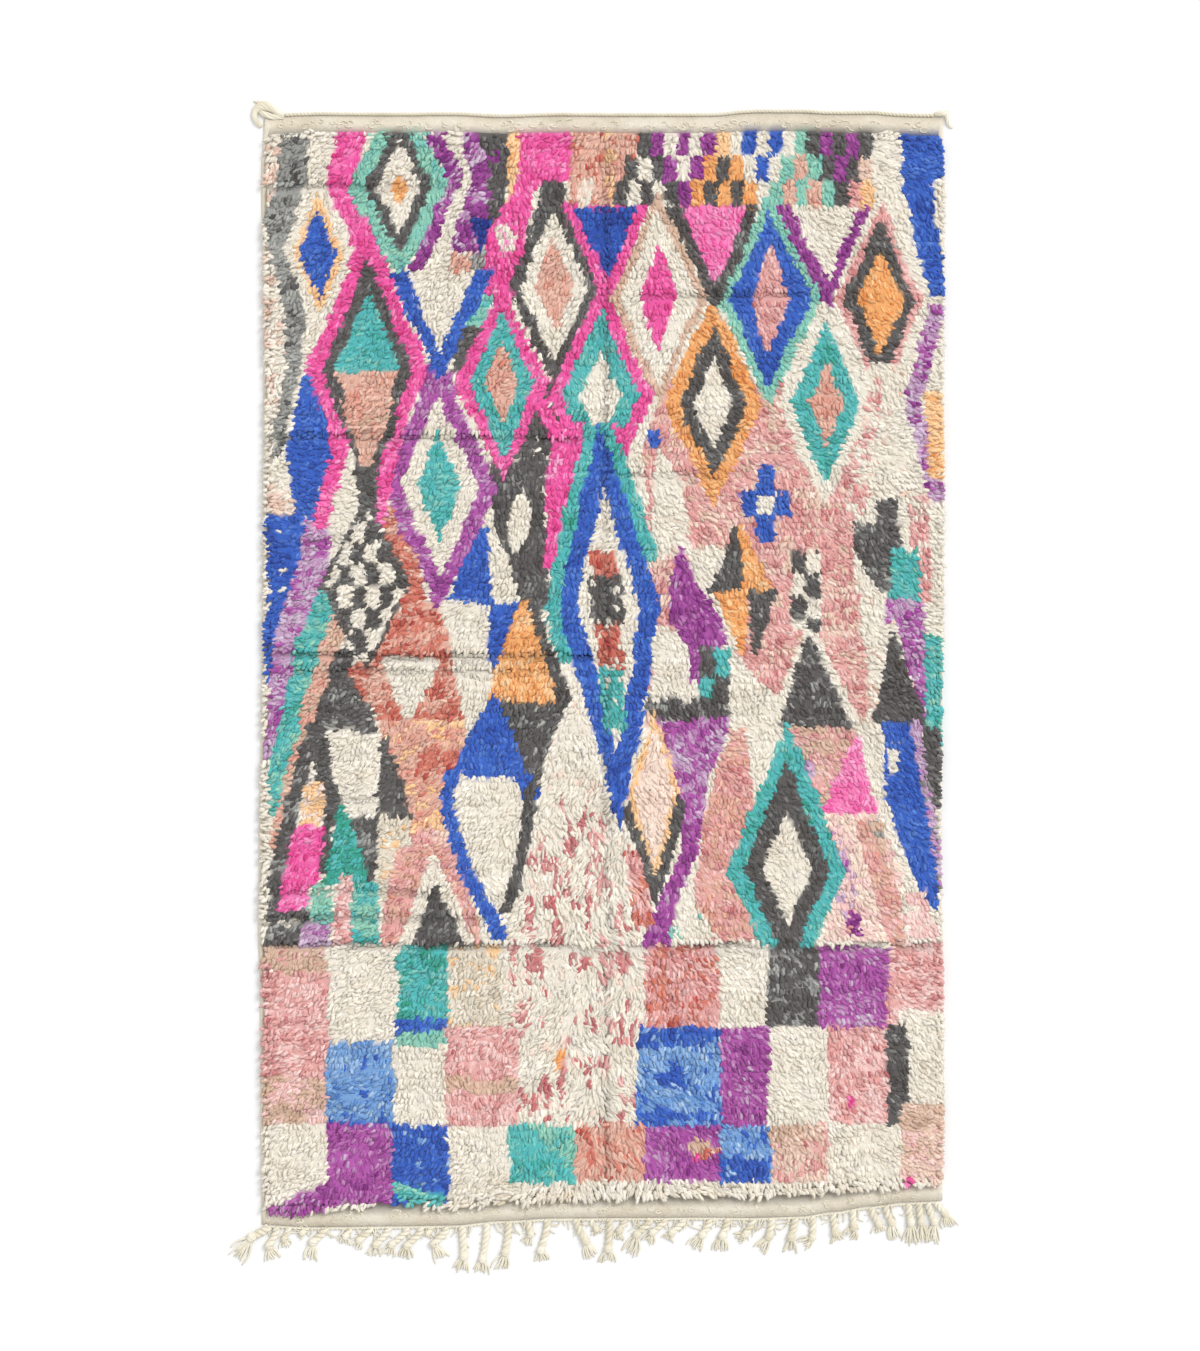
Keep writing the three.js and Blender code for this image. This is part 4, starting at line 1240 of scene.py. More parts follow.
def buildPile():
    rng = np.random.default_rng(pile["seed"])
    knots = growLocks(rng)
    shade, dye, tone = dyeLocks(knots, rng)
    vertices = lockVertices(knots)
    strand = rng.uniform(0, 1, knots["count"])
    pieces = []
    for yarn, stops in yarns.items():
        members = [i for i, name in enumerate(shadeNames) if shades[name][0] == yarn]
        chosen = np.flatnonzero(np.isin(shade, members))
        material = woolMaterial("wool_" + yarn, stops)
        parts = int(np.ceil(len(chosen) / pile["mostLocks"]))
        for part, locks in enumerate(np.array_split(chosen, parts)):
            name = "pile_" + yarn + ("_" + str(part + 1) if parts > 1 else "")
            values = {"dye": dye[locks], "tone": tone[locks], "strand": strand[locks]}
            pieces.append(lockPiece(name, "pile_" + yarn, material, vertices[locks], values))
    print("pile:", knots["count"], "locks in", len(pieces), "pieces")
    return pieces


pilePieces = buildPile()

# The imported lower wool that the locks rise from: a lumpy top over a flat underside
pileBody = {
    "across": 128,
    "down": 146,
    "seat": 0.8 * mm,        # above the weave
    "rimWidth": 9 * mm,
    "rimHeight": 0.6 * mm,
    "besideFolds": (-8, -4, 0, 4, 8),
    "fibreScale": 420.0,
    "tuftScale": 95.0,
    "bump": 2.0 * mm,
}


def bodyMaterial():
    shader = Shader("packed_wool")
    place = shader.add("ShaderNodeTexCoord", output="Object")
    fibres = shader.noise(place, pileBody["fibreScale"], 3.0, 0.6)
    tufts = shader.noise(place, pileBody["tuftScale"], 2.0)
    colour = shader.scaled(shader.attribute("yarnColour", "Color"), 0.75 + tufts * 0.25 + fibres * 0.2)
    normal = shader.bump(tufts * 1.4 + fibres * 0.5, 0.9, pileBody["bump"])
    return shader.finish(colour, 0.88 + fibres * 0.1, normal, 0.1)


# Height above its underside: the body's height less the creases, with noise, falling to the rim
def buildPileBody():
    b = pileBody
    u = np.linspace(-1, 1, b["across"])
    beside = np.array(b["besideFolds"]) * mm
    folds = [row[0] * mm + beside for row in crossCreases]
    v = np.unique(np.concatenate([np.linspace(-1, 1, b["down"]), np.concatenate(folds) / rug["halfLength"]]))
    uu, vv = np.meshgrid(u, v, indexing="ij")
    x, y = fieldPoint(uu.ravel(), vv.ravel())
    inside = np.minimum((1 - np.abs(uu)) * rug["halfWidth"], (1 - np.abs(vv)) * rug["halfLength"]).ravel()
    shoulder = np.clip(inside / b["rimWidth"], 0, 1)
    rimShare = b["rimHeight"] / pile["bodyHeight"]
    shoulder = rimShare + (1 - rimShare) * shoulder
    y += footRoom(x, (vv.ravel() + 1) * rug["halfLength"])
    lump = noiseLayers(x / cm, y / cm, lumpNoise)
    height = (pile["bodyHeight"] * (1 - crease["depth"] * creaseAt(x, y)) + lump) * shoulder
    floorLevel = rug["thickness"] + b["seat"]
    top = np.stack([x, y, floorLevel + np.maximum(height, b["rimHeight"])], axis=1)
    quads, rim = gridFaces(*uu.shape)
    bottom = top[rim].copy()
    bottom[:, 2] = floorLevel
    lower = len(top) + np.arange(len(rim))
    sides = np.stack([lower, np.roll(lower, -1), np.roll(rim, -1), rim], axis=1)
    groups = [np.concatenate([quads, sides]), lower[None, ::-1]]
    piece = meshPiece("pile_body", np.concatenate([top, bottom]), groups, bodyMaterial())
    colours = shadeColours()[drawDesign(*chartPlace(x, y))]
    # Painted shade: the body's colour darkens in the creases
    colours *= (1 - crease["bodyPaintedShade"] * creaseAt(x, y))[:, None]
    addColours(piece, "yarnColour", np.concatenate([colours, colours[rim]]))
    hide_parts("pile")
    print("pile body:", len(top), "points")
    return piece


pilePieces.append(buildPileBody())

# Ground: a flat weave with a rounded selvedge, and the knots' backs showing underneath

ground = {
    "across": 78,
    "down": 120,
    "edgeColumns": 5,
    "edgeWidth": 15 * mm,
    "ridge": 2.4 * mm,
    "ridgeWidth": 4.5 * mm,
    "ridgePlace": 5.5 * mm,
    "edgeGap": 1.2 * mm,
    "roundWidth": 4 * mm,
    "calmBySide": 20 * mm,
    "bandDepth": 45 * mm,
    "pileFromSide": 12 * mm,
    "pileFromEnd": 38 * mm,
    # Painted shade: the top of the weave under the pile is darker
    "paintedShadeUnderPile": 0.5,         # of the plain weave's
    "ripple": 0.6 * mm,
    "rippleCell": 4.0,
    "bandRippleCell": 1.5,
    "warpPitch": 5.4 * mm,
    "weftPitch": 3.0 * mm,
    "wanderScale": 60.0,
    "blotchScale": 9.0,
    "fuzzScale": 900.0,
    "lumpScale": 130.0,
    "bump": 1.6 * mm,
}


def weaveMaterial():
    g = ground
    shader = Shader("flat_weave_wool")
    place = shader.add("ShaderNodeTexCoord", output="Object")
    x = shader.axis(place, "X")
    y = shader.axis(place, "Y")
    wander = shader.noise(place, g["wanderScale"], 2.0)
    warp = (x * (2 * math.pi / g["warpPitch"]) + wander * 3).sin()
    weft = (y * (2 * math.pi / g["weftPitch"]) + wander * 4).sin()
    weave = warp * weft * 0.5 + 0.5
    blotch = shader.noise(place, g["blotchScale"], 3.0)
    fuzz = shader.noise(place, g["fuzzScale"], 2.0)
    stops = [(0.3, (214, 202, 178)), (0.55, (233, 224, 206)), (0.75, (243, 236, 221))]
    plain = shader.ramp(blotch * 0.7 + fuzz * 0.3, stops)
    backs = shader.attribute("backs")
    knotted = shader.mixed(backs * (0.45 + 0.5 * weave), plain, shader.attribute("backColour", "Color"))
    lumps = shader.noise(place, g["lumpScale"], 3.0, 0.6)
    # The tone attribute is painted shade: darker on the top under the pile
    shade = (0.76 + weave * 0.12 + fuzz * 0.12 + lumps * 0.26) * shader.attribute("tone")
    colour = shader.scaled(knotted, shade)
    normal = shader.bump(weave * 0.6 + fuzz * 0.4 + lumps * 1.6, 0.9, g["bump"])
    return shader.finish(colour, 0.86 + fuzz * 0.12, normal, 0.1)


# Top: thickness sqrt(1 - (1 - e / r)^2) near an edge, with a ridge of overcast warps by each
# side. The underside is flat, and both meet in a thin rounded edge
def buildGround():
    g = ground
    edge = np.linspace(0, g["edgeWidth"], g["edgeColumns"] + 1)[:-1] / rug["halfWidth"]
    edgeShare = g["edgeWidth"] / rug["halfWidth"]
    inner = np.linspace(-1 + edgeShare, 1 - edgeShare, g["across"])
    u = np.concatenate([-1 + edge, inner, 1 - edge[::-1]])
    v = np.linspace(-1, 1, g["down"])
    uu, vv = np.meshgrid(u, v, indexing="ij")
    x, y = rugPoint(uu.ravel(), vv.ravel())
    fromSide = ((1 - np.abs(uu)) * rug["halfWidth"]).ravel()
    fromEnd = ((1 - np.abs(vv)) * rug["halfLength"]).ravel()
    nearest = np.clip(np.minimum(fromSide, fromEnd) / g["roundWidth"], 0, 1)
    rounded = np.sqrt(1 - (1 - nearest) ** 2)
    ridge = g["ridge"] * np.exp(-((fromSide - g["ridgePlace"]) / g["ridgeWidth"]) ** 2)
    calm = np.clip(fromSide / g["calmBySide"], 0, 1)
    wave = g["ripple"] * (1 + softNoise(x / cm, y / cm, g["rippleCell"], 81)) * calm
    wave += g["ripple"] * softNoise(x / cm, y / cm, g["bandRippleCell"], 82) * (fromEnd < g["bandDepth"])
    half = rug["thickness"] / 2
    top = half + (half - g["edgeGap"] / 2) * rounded + g["edgeGap"] / 2 + (ridge + wave * 0.5) * rounded
    bottom = half - g["edgeGap"] / 2 - (half - g["edgeGap"] / 2) * rounded
    vertices = np.concatenate([np.stack([x, y, top], axis=1), np.stack([x, y, bottom], axis=1)])
    upper, rim = gridFaces(*uu.shape)
    below = len(x)
    lower = upper[:, [0, 3, 2, 1]] + below
    nextRim = np.roll(rim, -1)
    sides = np.stack([rim + below, nextRim + below, nextRim, rim], axis=1)
    faces = [np.concatenate([upper, lower, sides])]
    piece = meshPiece("ground_weave_cloth", vertices, faces, weaveMaterial())
    colours = shadeColours()[drawDesign(*chartPlace(x, y))]
    inPile = (fromSide > g["pileFromSide"]) & (fromEnd > g["pileFromEnd"])
    addFloats(piece, "backs", np.concatenate([inPile, inPile]) * 1.0)
    # Painted shade on the top under the pile; the underside keeps its full colour
    addFloats(piece, "tone", np.concatenate([1 - g["paintedShadeUnderPile"] * inPile, np.ones(below)]))
    addColours(piece, "backColour", np.concatenate([colours, colours]))
    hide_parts("ground_weave")
    print("ground:", len(vertices), "points")
    return piece


groundPiece = buildGround()


# Tubes of yarn


# Directions at each point of a path: ahead, to the side and level, and square to both
def pathFrame(path):
    ahead = np.gradient(path, axis=0)
    ahead /= np.linalg.norm(ahead, axis=1)[:, None]
    side = np.cross([0.0, 0.0, 1.0], ahead)
    side /= np.linalg.norm(side, axis=1)[:, None] + 1e-9
    return ahead, side, np.cross(ahead, side)


# How far along a path each of its points lies
def pathLengths(path):
    steps = np.linalg.norm(np.diff(path, axis=0), axis=1)
    return np.concatenate([[0], np.cumsum(steps)])


# A tube along a path: at each point a ring of corners, point + side cos(a) w + over sin(a) h,
# with side level and square to the path, closed by a point at each end
def tube(path, wide, high, sides):
    count = len(path)
    ahead, side, over = pathFrame(path)
    angles = np.arange(sides) / sides * 2 * np.pi
    ring = ringCorners(side, over, angles, wide, high)
    body = (path[:, None, :] + ring).reshape(-1, 3)
    caps = np.stack([path[0] - ahead[0] * wide[0] * 0.5, path[-1] + ahead[-1] * wide[-1] * 0.5])
    vertices = np.concatenate([body, caps])
    index = np.arange(count * sides).reshape(count, sides)
    after = np.roll(index, -1, axis=1)
    quads = np.stack([index[:-1], after[:-1], after[1:], index[1:]], axis=-1).reshape(-1, 4)
    start = np.stack([np.full(sides, len(body)), after[0], index[0]], axis=1)
    end = np.stack([np.full(sides, len(body) + 1), index[-1], after[-1]], axis=1)
    around = np.broadcast_to(np.arange(sides) / sides, (count, sides)).ravel()
    along = np.repeat(pathLengths(path), sides)
    return {
        "vertices": vertices,
        "quads": quads,
        "fans": np.concatenate([start, end]),
        "around": np.concatenate([around, [0, 0]]),
        "along": np.concatenate([along, [0, along[-1]]]),
    }


# Joins tubes into one mesh piece, each with its own random value
def yarnPiece(name, tubes, material, seed):
    sizes = [len(t["vertices"]) for t in tubes]
    starts = np.concatenate([[0], np.cumsum(sizes)[:-1]])
    quads = np.concatenate([t["quads"] + start for t, start in zip(tubes, starts)])
    fans = np.concatenate([t["fans"] + start for t, start in zip(tubes, starts)])
    vertices = np.concatenate([t["vertices"] for t in tubes])
    piece = meshPiece(name, vertices, [fans, quads], material)
    strand = np.random.default_rng(seed).uniform(0, 1, len(tubes))
    addFloats(piece, "strand", np.repeat(strand, sizes))
    addFloats(piece, "around", np.concatenate([t["around"] for t in tubes]))
    addFloats(piece, "along", np.concatenate([t["along"] for t in tubes]))
    return piece


# Two plies wound about a path: each runs half the radius from it and turns once in a pitch
def twistedPlies(path, radius, pitch, sides, phase=0.0, flatness=1.0):
    _ahead, side, over = pathFrame(path)
    turn = pathLengths(path) / pitch * 2 * np.pi + phase
    plies = []
    for start in (0.0, np.pi):
        away = side * np.cos(turn + start)[:, None] + over * np.sin(turn + start)[:, None] * flatness
        ply = path + away * (radius * 0.48)[:, None]
        plies.append(tube(ply, radius * 0.56, radius * 0.52 * flatness, sides))
    return plies


warpLook = {
    "twistLength": 3.2 * mm,
    "twistLean": 0.6,
    "fuzzScale": 700.0,
    "blotchScale": 24.0,
    "bump": 0.6 * mm,
}


# Undyed warp yarn: cream, with fine lines wound slantwise round each ply
def warpMaterial():
    w = warpLook
    shader = Shader("undyed_warp_wool")
    place = shader.add("ShaderNodeTexCoord", output="Object")
    around = shader.attribute("around")
    along = shader.attribute("along")
    strand = shader.attribute("strand")
    lean = (around * 2 * math.pi).sin() * w["twistLean"]
    winding = lean + along * (2 * math.pi / w["twistLength"]) + strand * 40
    twist = winding.sin() * 0.5 + 0.5
    fuzz = shader.noise(place, w["fuzzScale"], 3.0)
    blotch = shader.noise(place, w["blotchScale"], 2.0)
    stops = [(0.25, (216, 206, 181)), (0.55, (234, 227, 207)), (0.8, (243, 238, 223))]
    plain = shader.ramp(blotch * 0.5 + strand * 0.3 + fuzz * 0.25, stops)
    colour = shader.scaled(plain, 0.9 + twist * 0.13 + fuzz * 0.06)
    normal = shader.bump(twist * 0.6 + fuzz, 0.7, w["bump"])
    return shader.finish(colour, 0.86 + fuzz * 0.12, normal, 0.1)


warpWool = warpMaterial()

# Heading cord, two plies along the heading edge

headingCord = {
    "radius": 3.9 * mm,
    "seat": 4.05 * mm,
    "from": -720.4 * mm,
    "to": 752.8 * mm,
    "pitch": 17 * mm,
    "step": 3.4 * mm,
    "sides": 6,
}


# The y of the woven field's end edge at places across it, v = -1 at the foot, 1 at the head
def endEdge(across, v):
    u = np.linspace(-1, 1, 41)
    x, y = rugPoint(u, np.full(41, float(v)))
    return np.interp(across + shiftX, x, y)


def buildHeadingCord():
    c = headingCord
    across = np.arange(c["from"], c["to"], c["step"])
    centre = np.full(len(across), c["radius"] + 0.1 * mm)
    path = np.stack([across + shiftX, endEdge(across, 1) + c["seat"], centre], axis=1)
    plies = twistedPlies(path, np.full(len(across), c["radius"]), c["pitch"], c["sides"])
    piece = yarnPiece("heading_cord_plies", plies, warpWool, 3)
    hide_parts("heading_cord")
    print("heading cord:", len(across), "steps")
    return piece


cordPiece = buildHeadingCord()

# Flattened loops and slubs of warp that lie on the two plain bands

bandYarns = {
    "loops": 220,
    "radius": 1.7 * mm,
    "seat": 0.9 * mm,
    "sizes": (3.5 * mm, 10 * mm),
    "arcs": (1.2, 4.8),      # radians
    "across": 0.95,          # of the half width
    "inBand": (0.3, 0.75),   # of the band's depth
    "mostOfBand": 0.4,
    "narrow": 0.6,
    "steps": 12,
    "seed": 37,
}


# Each is an arc: centre + size (cos a, narrow sin a), through a random part of a turn
def buildBandYarns():
    b = bandYarns
    rng = np.random.default_rng(b["seed"])
    tubes = []
    for number in range(b["loops"]):
        across = rng.uniform(-b["across"], b["across"]) * rug["halfWidth"]
        size = rng.uniform(*b["sizes"])
        place = rng.uniform(*b["inBand"])
        column, atEdge = (4, 2) if number % 2 else (3, 1)
        band = float(eased(endEdges, column, across))
        inward = -1 if number % 2 else 1
        along = float(eased(endEdges, atEdge, across)) + inward * band * place
        size = min(size, band * b["mostOfBand"])
        angle = rng.uniform(0, 2 * np.pi) + np.linspace(0, rng.uniform(*b["arcs"]), b["steps"])
        path = np.stack([
            across + shiftX + size * np.cos(angle),
            along + shiftY + size * b["narrow"] * np.sin(angle),
            np.full(b["steps"], rug["thickness"] + b["seat"]),
        ], axis=1)
        thick = b["radius"] * np.sin(np.linspace(0.12, 0.88, b["steps"]) * np.pi) ** 0.5
        tubes.append(tube(path, thick, thick * 0.9, 5))
    piece = yarnPiece("band_yarns", tubes, warpWool, 7)
    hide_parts("ground_weave")
    print("band yarns:", len(tubes))
    return piece


bandPiece = buildBandYarns()

# Fringe

fringe = {
    "neckRadius": 8.2 * mm,
    "knotRadius": 9.6 * mm,
    "knotLength": 0.85,      # half of it, in knot radii
    "flatness": 0.62,
    "pitch": 25 * mm,
    "neckSteps": 30,
    "knotSteps": 9,
    "endPlies": 8,
    "endSteps": 8,
    "endSpread": 21 * mm,
    "plySpread": (0.7, 1.2),   # of the end spread
    "plyLength": (0.74, 1.06),  # of the way from the knot to the tip
    "plySway": 2.2,          # mm
    "plyRise": 2.5,          # mm, in the middle of the fan
    "plyAlong": (0, 0.5, 0.85, 1),
    "plyThick": (2.3, 2.3, 2.0, 1.1),
    "clear": 0.2 * mm,       # from the floor
    "strays": 3,
    "strayLength": (12, 22),  # mm
    "strayThick": (1.6, 0.9),
    "looseEnds": 110,
    "looseSteps": 7,
    "looseFrom": (-755, 755),
    "looseOut": (9, 30),     # mm
    "looseAside": 0.7,       # of how far it goes out
    "looseWide": (1.9, 1.1),
    "looseHigh": (1.7, 1.0),
    "edgeFrom": -762 * mm,
    "edgeTo": 763 * mm,
    "edgeStep": 4 * mm,
    "edgeRadius": 3.2 * mm,
    "edgeOut": 4.4 * mm,
    "edgePitch": 19 * mm,
    "seed": 23,
}

# Strands from left to right: root, knot, how far out the knot lies, tip, how far out it ends, size
strands = [
    (-758, -796, 28, -836, 76, 1.3), (-738, -757, 46, -745, 78, 1.05), (-712, -722, 30, -717, 50, 0.7),
    (-668, -681, 14, -693, 23, 0.6), (-630, -657, 34, -664, 77, 1.1), (-573, -583, 22, -587, 40, 0.75),
    (-526, -552, 32, -560, 52, 0.8), (-485, -514, 42, -519, 68, 0.95), (-442, -478, 42, -488, 68, 0.9),
    (-410, -444, 46, -450, 76, 0.95), (-386, -396, 18, -400, 27, 0.5), (-353, -383, 42, -366, 80, 1),
    (-318, -314, 72, -326, 108, 1.1), (-263, -272, 84, -277, 118, 0.95), (-213, -221, 72, -234, 116, 1),
    (-168, -163, 34, -176, 58, 0.8), (-125, -140, 72, -138, 98, 1), (-60, -38, 52, -24, 92, 1),
    (-26, -14, 26, -9, 38, 0.6), (16, 13, 70, 9, 104, 1), (51, 38, 30, 34, 52, 0.75),
    (108, 78, 38, 56, 86, 1), (143, 113, 34, 98, 58, 0.8), (185, 158, 34, 148, 54, 0.85),
    (244, 226, 40, 208, 72, 0.95), (284, 272, 42, 268, 76, 1), (341, 324, 38, 303, 50, 0.9),
    (384, 378, 44, 356, 76, 1), (437, 428, 48, 426, 84, 1.05), (478, 476, 52, 452, 72, 0.85),
    (523, 528, 48, 535, 68, 0.95), (568, 570, 42, 556, 68, 0.9), (610, 627, 40, 630, 60, 0.9),
    (642, 656, 40, 664, 80, 0.95), (694, 700, 46, 700, 98, 1), (718, 723, 46, 730, 94, 0.85),
    (739, 753, 46, 751, 98, 0.9), (758, 777, 28, 793, 62, 0.8),
]


# A smooth curve through a few points: a cubic from each to the next, whose slope at a point
# is half the step between the points beside it
def smoothPath(points, count):
    points = np.asarray(points, dtype=float)
    padded = np.concatenate([[2 * points[0] - points[1]], points, [2 * points[-1] - points[-2]]])
    place = np.linspace(0, len(points) - 1, count)
    i = np.minimum(place.astype(int), len(points) - 2)
    t = (place - i)[:, None]
    a, b, c, d = padded[i], padded[i + 1], padded[i + 2], padded[i + 3]
    square = (2 * a - 5 * b + 4 * c - d) * t ** 2
    cube = (3 * b - a - 3 * c + d) * t ** 3
    return 0.5 * (2 * b + (c - a) * t + square + cube)


# A knot: a short fat tube that turns from one direction to the other, with grooves round it
def knotTube(centre, back, ahead, scale):
    f = fringe
    line = np.linspace(-1, 1, f["knotSteps"])[:, None]
    path = centre + np.where(line < 0, back, ahead) * line * f["knotRadius"] * scale * f["knotLength"]
    path[:, 2] = f["knotRadius"] * scale * f["flatness"] * 1.12 + f["clear"]
    bulge = np.sin(np.linspace(0.16, 0.86, f["knotSteps"]) * np.pi) ** 0.6
    grooves = 1 + 0.12 * np.sin(np.linspace(0, 5 * np.pi, f["knotSteps"]))
    wide = f["knotRadius"] * scale * bulge * grooves
    return tube(path, wide, wide * f["flatness"], 8)


# One of the plies that fan out from a knot to the tip, at a place from -1 to 1 across the fan
def endPly(centre, end, ahead, place, scale, neckHigh, rng):
    f = fringe
    side = np.array([-ahead[1], ahead[0], 0.0])
    spread = place * f["endSpread"] * scale * rng.uniform(*f["plySpread"])
    length = rng.uniform(*f["plyLength"])
    ends = centre + (end - centre) * length + side * spread
    ends[2] = 1.9 * mm + rng.uniform(0, f["plyRise"]) * mm * (1 - abs(place))
    halfway = centre + (end - centre) * length * 0.55 + side * spread * 0.8
    halfway = halfway + side * rng.normal(0, f["plySway"]) * mm
    halfway[2] = 2.6 * mm + rng.uniform(0, f["plyRise"]) * mm * (1 - abs(place))
    first = centre + side * place * 2.2 * mm + ahead * f["knotRadius"] * scale * f["knotLength"] * 0.3
    first[2] = neckHigh + place ** 2 * -1.0 * mm
    path = smoothPath([first, halfway, ends], f["endSteps"])
    thick = np.interp(np.linspace(0, 1, f["endSteps"]), f["plyAlong"], f["plyThick"]) * mm * scale
    path[:, 2] = np.maximum(path[:, 2], thick)
    return tube(path, thick, thick * 0.9, 5)


# A stray ply that leaves the neck sideways and droops to the floor
def strayPly(neck, ahead, scale, neckHigh, rng):
    f = fringe
    side = np.array([-ahead[1], ahead[0], 0.0])
    first = neck[rng.integers(4, len(neck) - 8)]
    turn = rng.uniform(-1, 1)
    away = side * math.copysign(1, turn) * (0.5 + abs(turn)) + ahead * rng.uniform(0.2, 1)
    length = rng.uniform(*f["strayLength"]) * mm * scale
    bend = first + away * length * 0.5 + ahead * rng.normal(0, 3) * mm
    path = smoothPath([first, bend, first + away * length], f["endSteps"])
    thick = np.linspace(*f["strayThick"], f["endSteps"]) * mm
    path[:, 2] = np.maximum(np.linspace(neckHigh, 1.4 * mm, f["endSteps"]), thick)
    return tube(path, thick, thick * 0.9, 5)


# One strand: a two-ply neck from the foot edge, a knot, plies that fan out, and strays
def strandTubes(row, rng):
    root, knot, knotOut, tip, tipOut, size = row
    f = fringe
    scale = math.sqrt(size)
    foot = float(endEdge(np.array([root * mm]), -1)[0])
    neckWide = f["neckRadius"] * scale
    neckHigh = neckWide * f["flatness"]
    level = neckHigh + f["clear"]
    start = np.array([root * mm + shiftX, foot - f["edgeOut"], level])
    middleX = (root * 0.8 + knot * 0.2) * mm + shiftX
    middle = np.array([middleX, foot - knotOut * 0.42 * mm, level])
    centre = np.array([knot * mm + shiftX, foot - knotOut * mm, neckHigh * 1.2])
    end = np.array([tip * mm + shiftX, foot - tipOut * mm, 2.2 * mm])
    neck = smoothPath([start, middle, centre], f["neckSteps"])
    tubes = twistedPlies(neck, np.full(len(neck), neckWide), f["pitch"], 6, rng.uniform(0, 6), f["flatness"])
    ahead = (end - centre) / np.linalg.norm(end - centre)
    back = (centre - middle) / np.linalg.norm(centre - middle)
    tubes.append(knotTube(centre, back, ahead, scale))
    for ply in range(f["endPlies"]):
        place = (ply + 0.5) / f["endPlies"] * 2 - 1
        tubes.append(endPly(centre, end, ahead, place, scale, neckHigh, rng))
    for _stray in range(f["strays"]):
        tubes.append(strayPly(neck, ahead, scale, neckHigh, rng))
    return tubes


# A single ply that stands out of the edge between the strands and droops to the floor
def looseEnd(rng):
    f = fringe
    x = rng.uniform(*f["looseFrom"]) * mm
    foot = float(endEdge(np.array([x]), -1)[0]) - f["edgeOut"]
    out = rng.uniform(*f["looseOut"]) * mm
    aside = rng.normal(0, f["looseAside"]) * out
    points = [
        [x + shiftX, foot + 1 * mm, 4.6 * mm],
        [x + shiftX + aside * 0.3, foot - out * 0.6, 3.4 * mm],
        [x + shiftX + aside, foot - out, 1.8 * mm],
    ]
    path = smoothPath(points, f["looseSteps"])
    wide = np.linspace(*f["looseWide"], f["looseSteps"]) * mm
    return tube(path, wide, np.linspace(*f["looseHigh"], f["looseSteps"]) * mm, 5)


def buildFringe():
    f = fringe
    rng = np.random.default_rng(f["seed"])
    tubes = [looseEnd(rng) for _loose in range(f["looseEnds"])]
    for row in strands:
        tubes += strandTubes(row, rng)
    across = np.arange(f["edgeFrom"], f["edgeTo"], f["edgeStep"])
    height = np.full(len(across), f["edgeRadius"] + 0.1 * mm)
    edge = np.stack([across + shiftX, endEdge(across, -1) - f["edgeOut"], height], axis=1)
    tubes += twistedPlies(edge, np.full(len(across), f["edgeRadius"]), f["edgePitch"], 6)
    piece = yarnPiece("warp_fringe_yarns", tubes, warpWool, 4)
    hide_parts("warp_fringe")
    print("fringe:", len(strands), "strands,", len(tubes), "tubes")
    return piece


fringePiece = buildFringe()

# Corner ends of the heading, each a bundle of plies that follows its points

# Rows of across, along, width, height
tailLoop = [
    (-722, 1256, 9, 8), (-736, 1260, 11, 9), (-751, 1270, 17, 12), (-769, 1276, 21, 13),
    (-785, 1269, 16, 11), (-790, 1254, 12, 9), (-784, 1240, 11, 8), (-774, 1229, 8, 5),
]
tailInner = [
    (-724, 1250, 8, 7), (-740, 1251, 12, 8), (-758, 1254, 15, 9), (-774, 1262, 12, 8), (-784, 1270, 6, 5),
]
tailSpike = [(-770, 1277, 9, 6), (-781, 1284, 7, 4), (-792, 1287, 3, 2)]
tuftUpper = [(754, 1257, 9, 8), (767, 1259, 13, 11), (778, 1259, 11, 9), (785, 1264, 5, 3)]
tuftLower = [(780, 1259, 8, 8), (783, 1243, 9, 8), (788, 1231, 7, 5), (795, 1226, 3, 2)]


# Shares of a bundle's width and height: how far its plies stand off the middle, and their sizes
bundling = {"off": 0.3, "rise": 0.24, "plyWide": 0.2, "plyMore": 0.5 * mm, "highMore": 0.2 * mm}


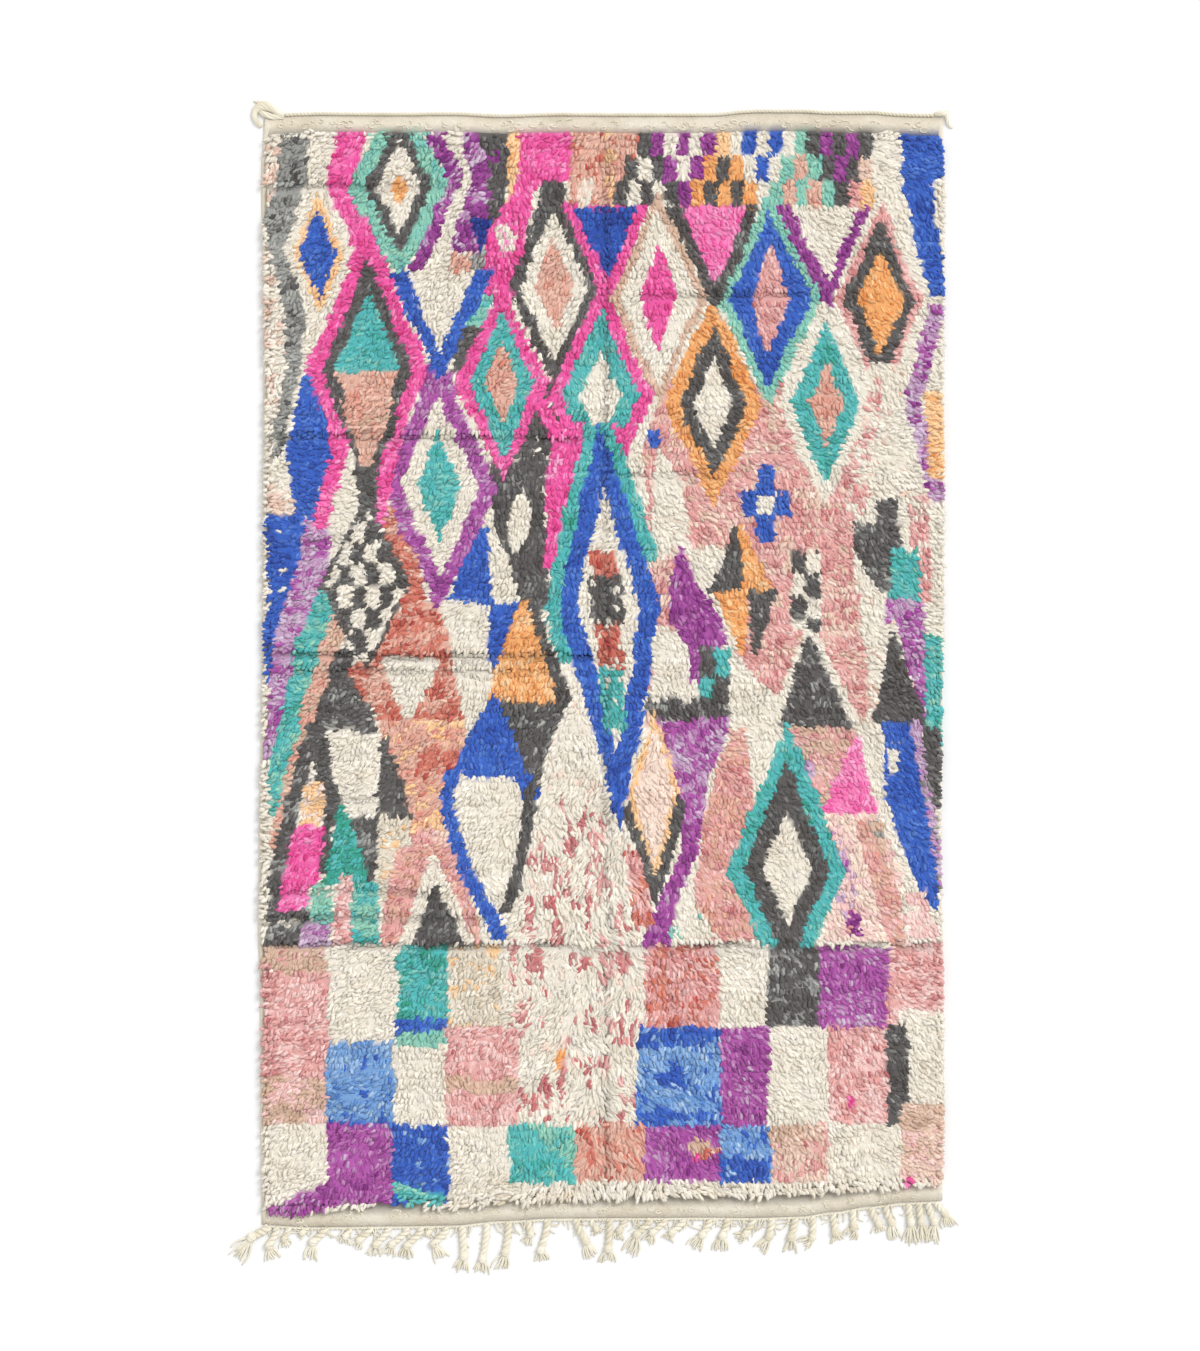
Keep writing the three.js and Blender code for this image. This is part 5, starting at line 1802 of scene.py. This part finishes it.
# Plies stand around the bundle's middle line on an ellipse and turn slowly along it
def bundle(rows, plies, turns, phase):
    b = bundling
    table = np.array(rows, dtype=float) * mm
    count = 6 * len(rows)
    smooth = smoothPath(table, count)
    width = smooth[:, 2]
    height = smooth[:, 3]
    path = np.stack([smooth[:, 0] + shiftX, smooth[:, 1] + shiftY, height * 0.5], axis=1)
    side = pathFrame(path)[1]
    turn = np.linspace(0, turns * 2 * np.pi, count) + phase
    tubes = []
    for ply in range(plies):
        angle = turn + ply / plies * 2 * np.pi
        line = path + side * (np.cos(angle) * width * b["off"])[:, None]
        line[:, 2] += np.sin(angle) * height * b["rise"]
        high = height * b["rise"] + b["highMore"]
        line[:, 2] = np.maximum(line[:, 2], high + 0.1 * mm)
        tubes.append(tube(line, width * b["plyWide"] + b["plyMore"], high, 6))
    return tubes


def buildCornerEnds():
    tail = bundle(tailLoop, 6, 1.6, 0.4) + bundle(tailInner, 4, 0.8, 0.1) + bundle(tailSpike, 3, 0.5, 1.0)
    tuft = bundle(tuftUpper, 5, 0.7, 0.2) + bundle(tuftLower, 4, 0.6, 0.9)
    tailPiece = yarnPiece("heading_tail_yarns", tail, warpWool, 5)
    tuftPiece = yarnPiece("heading_tuft_yarns", tuft, warpWool, 6)
    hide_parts("heading_tail")
    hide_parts("heading_tuft")
    print("corner ends:", len(tail) + len(tuft), "tubes")
    return [tailPiece, tuftPiece]


cornerPieces = buildCornerEnds()

# Floor and light

studio = {
    "floorSize": 12.0,
    "floorDrop": 0.4 * mm,
    "skyStrength": 0.84,
    "sunStrength": 1.6,
    "sunSoftness": 26,
    "sunTilt": (-30, 38, 0),
}

floorMesh = bpy.data.meshes.new("floor")
reach = studio["floorSize"] / 2
drop = -studio["floorDrop"]
corners = [(-reach, -reach, drop), (reach, -reach, drop), (reach, reach, drop), (-reach, reach, drop)]
floorMesh.from_pydata(corners, [], [(0, 1, 2, 3)])
floor = addObject("floor", floorMesh)
floorShader = Shader("pale_floor")
floorMesh.materials.append(floorShader.finish((0.88, 0.88, 0.88, 1), 0.9))

world = bpy.data.worlds.new("studio")
bpy.context.scene.world = world
world.use_nodes = True
world.node_tree.nodes["Background"].inputs["Color"].default_value = (1, 1, 1, 1)
world.node_tree.nodes["Background"].inputs["Strength"].default_value = studio["skyStrength"]
sunData = bpy.data.lights.new("key", "SUN")
sunData.energy = studio["sunStrength"]
sunData.angle = math.radians(studio["sunSoftness"])
sun = addObject("key", sunData)
sun.rotation_euler = [math.radians(angle) for angle in studio["sunTilt"]]
bpy.context.scene.view_settings.view_transform = "Standard"
print("floor and light placed")
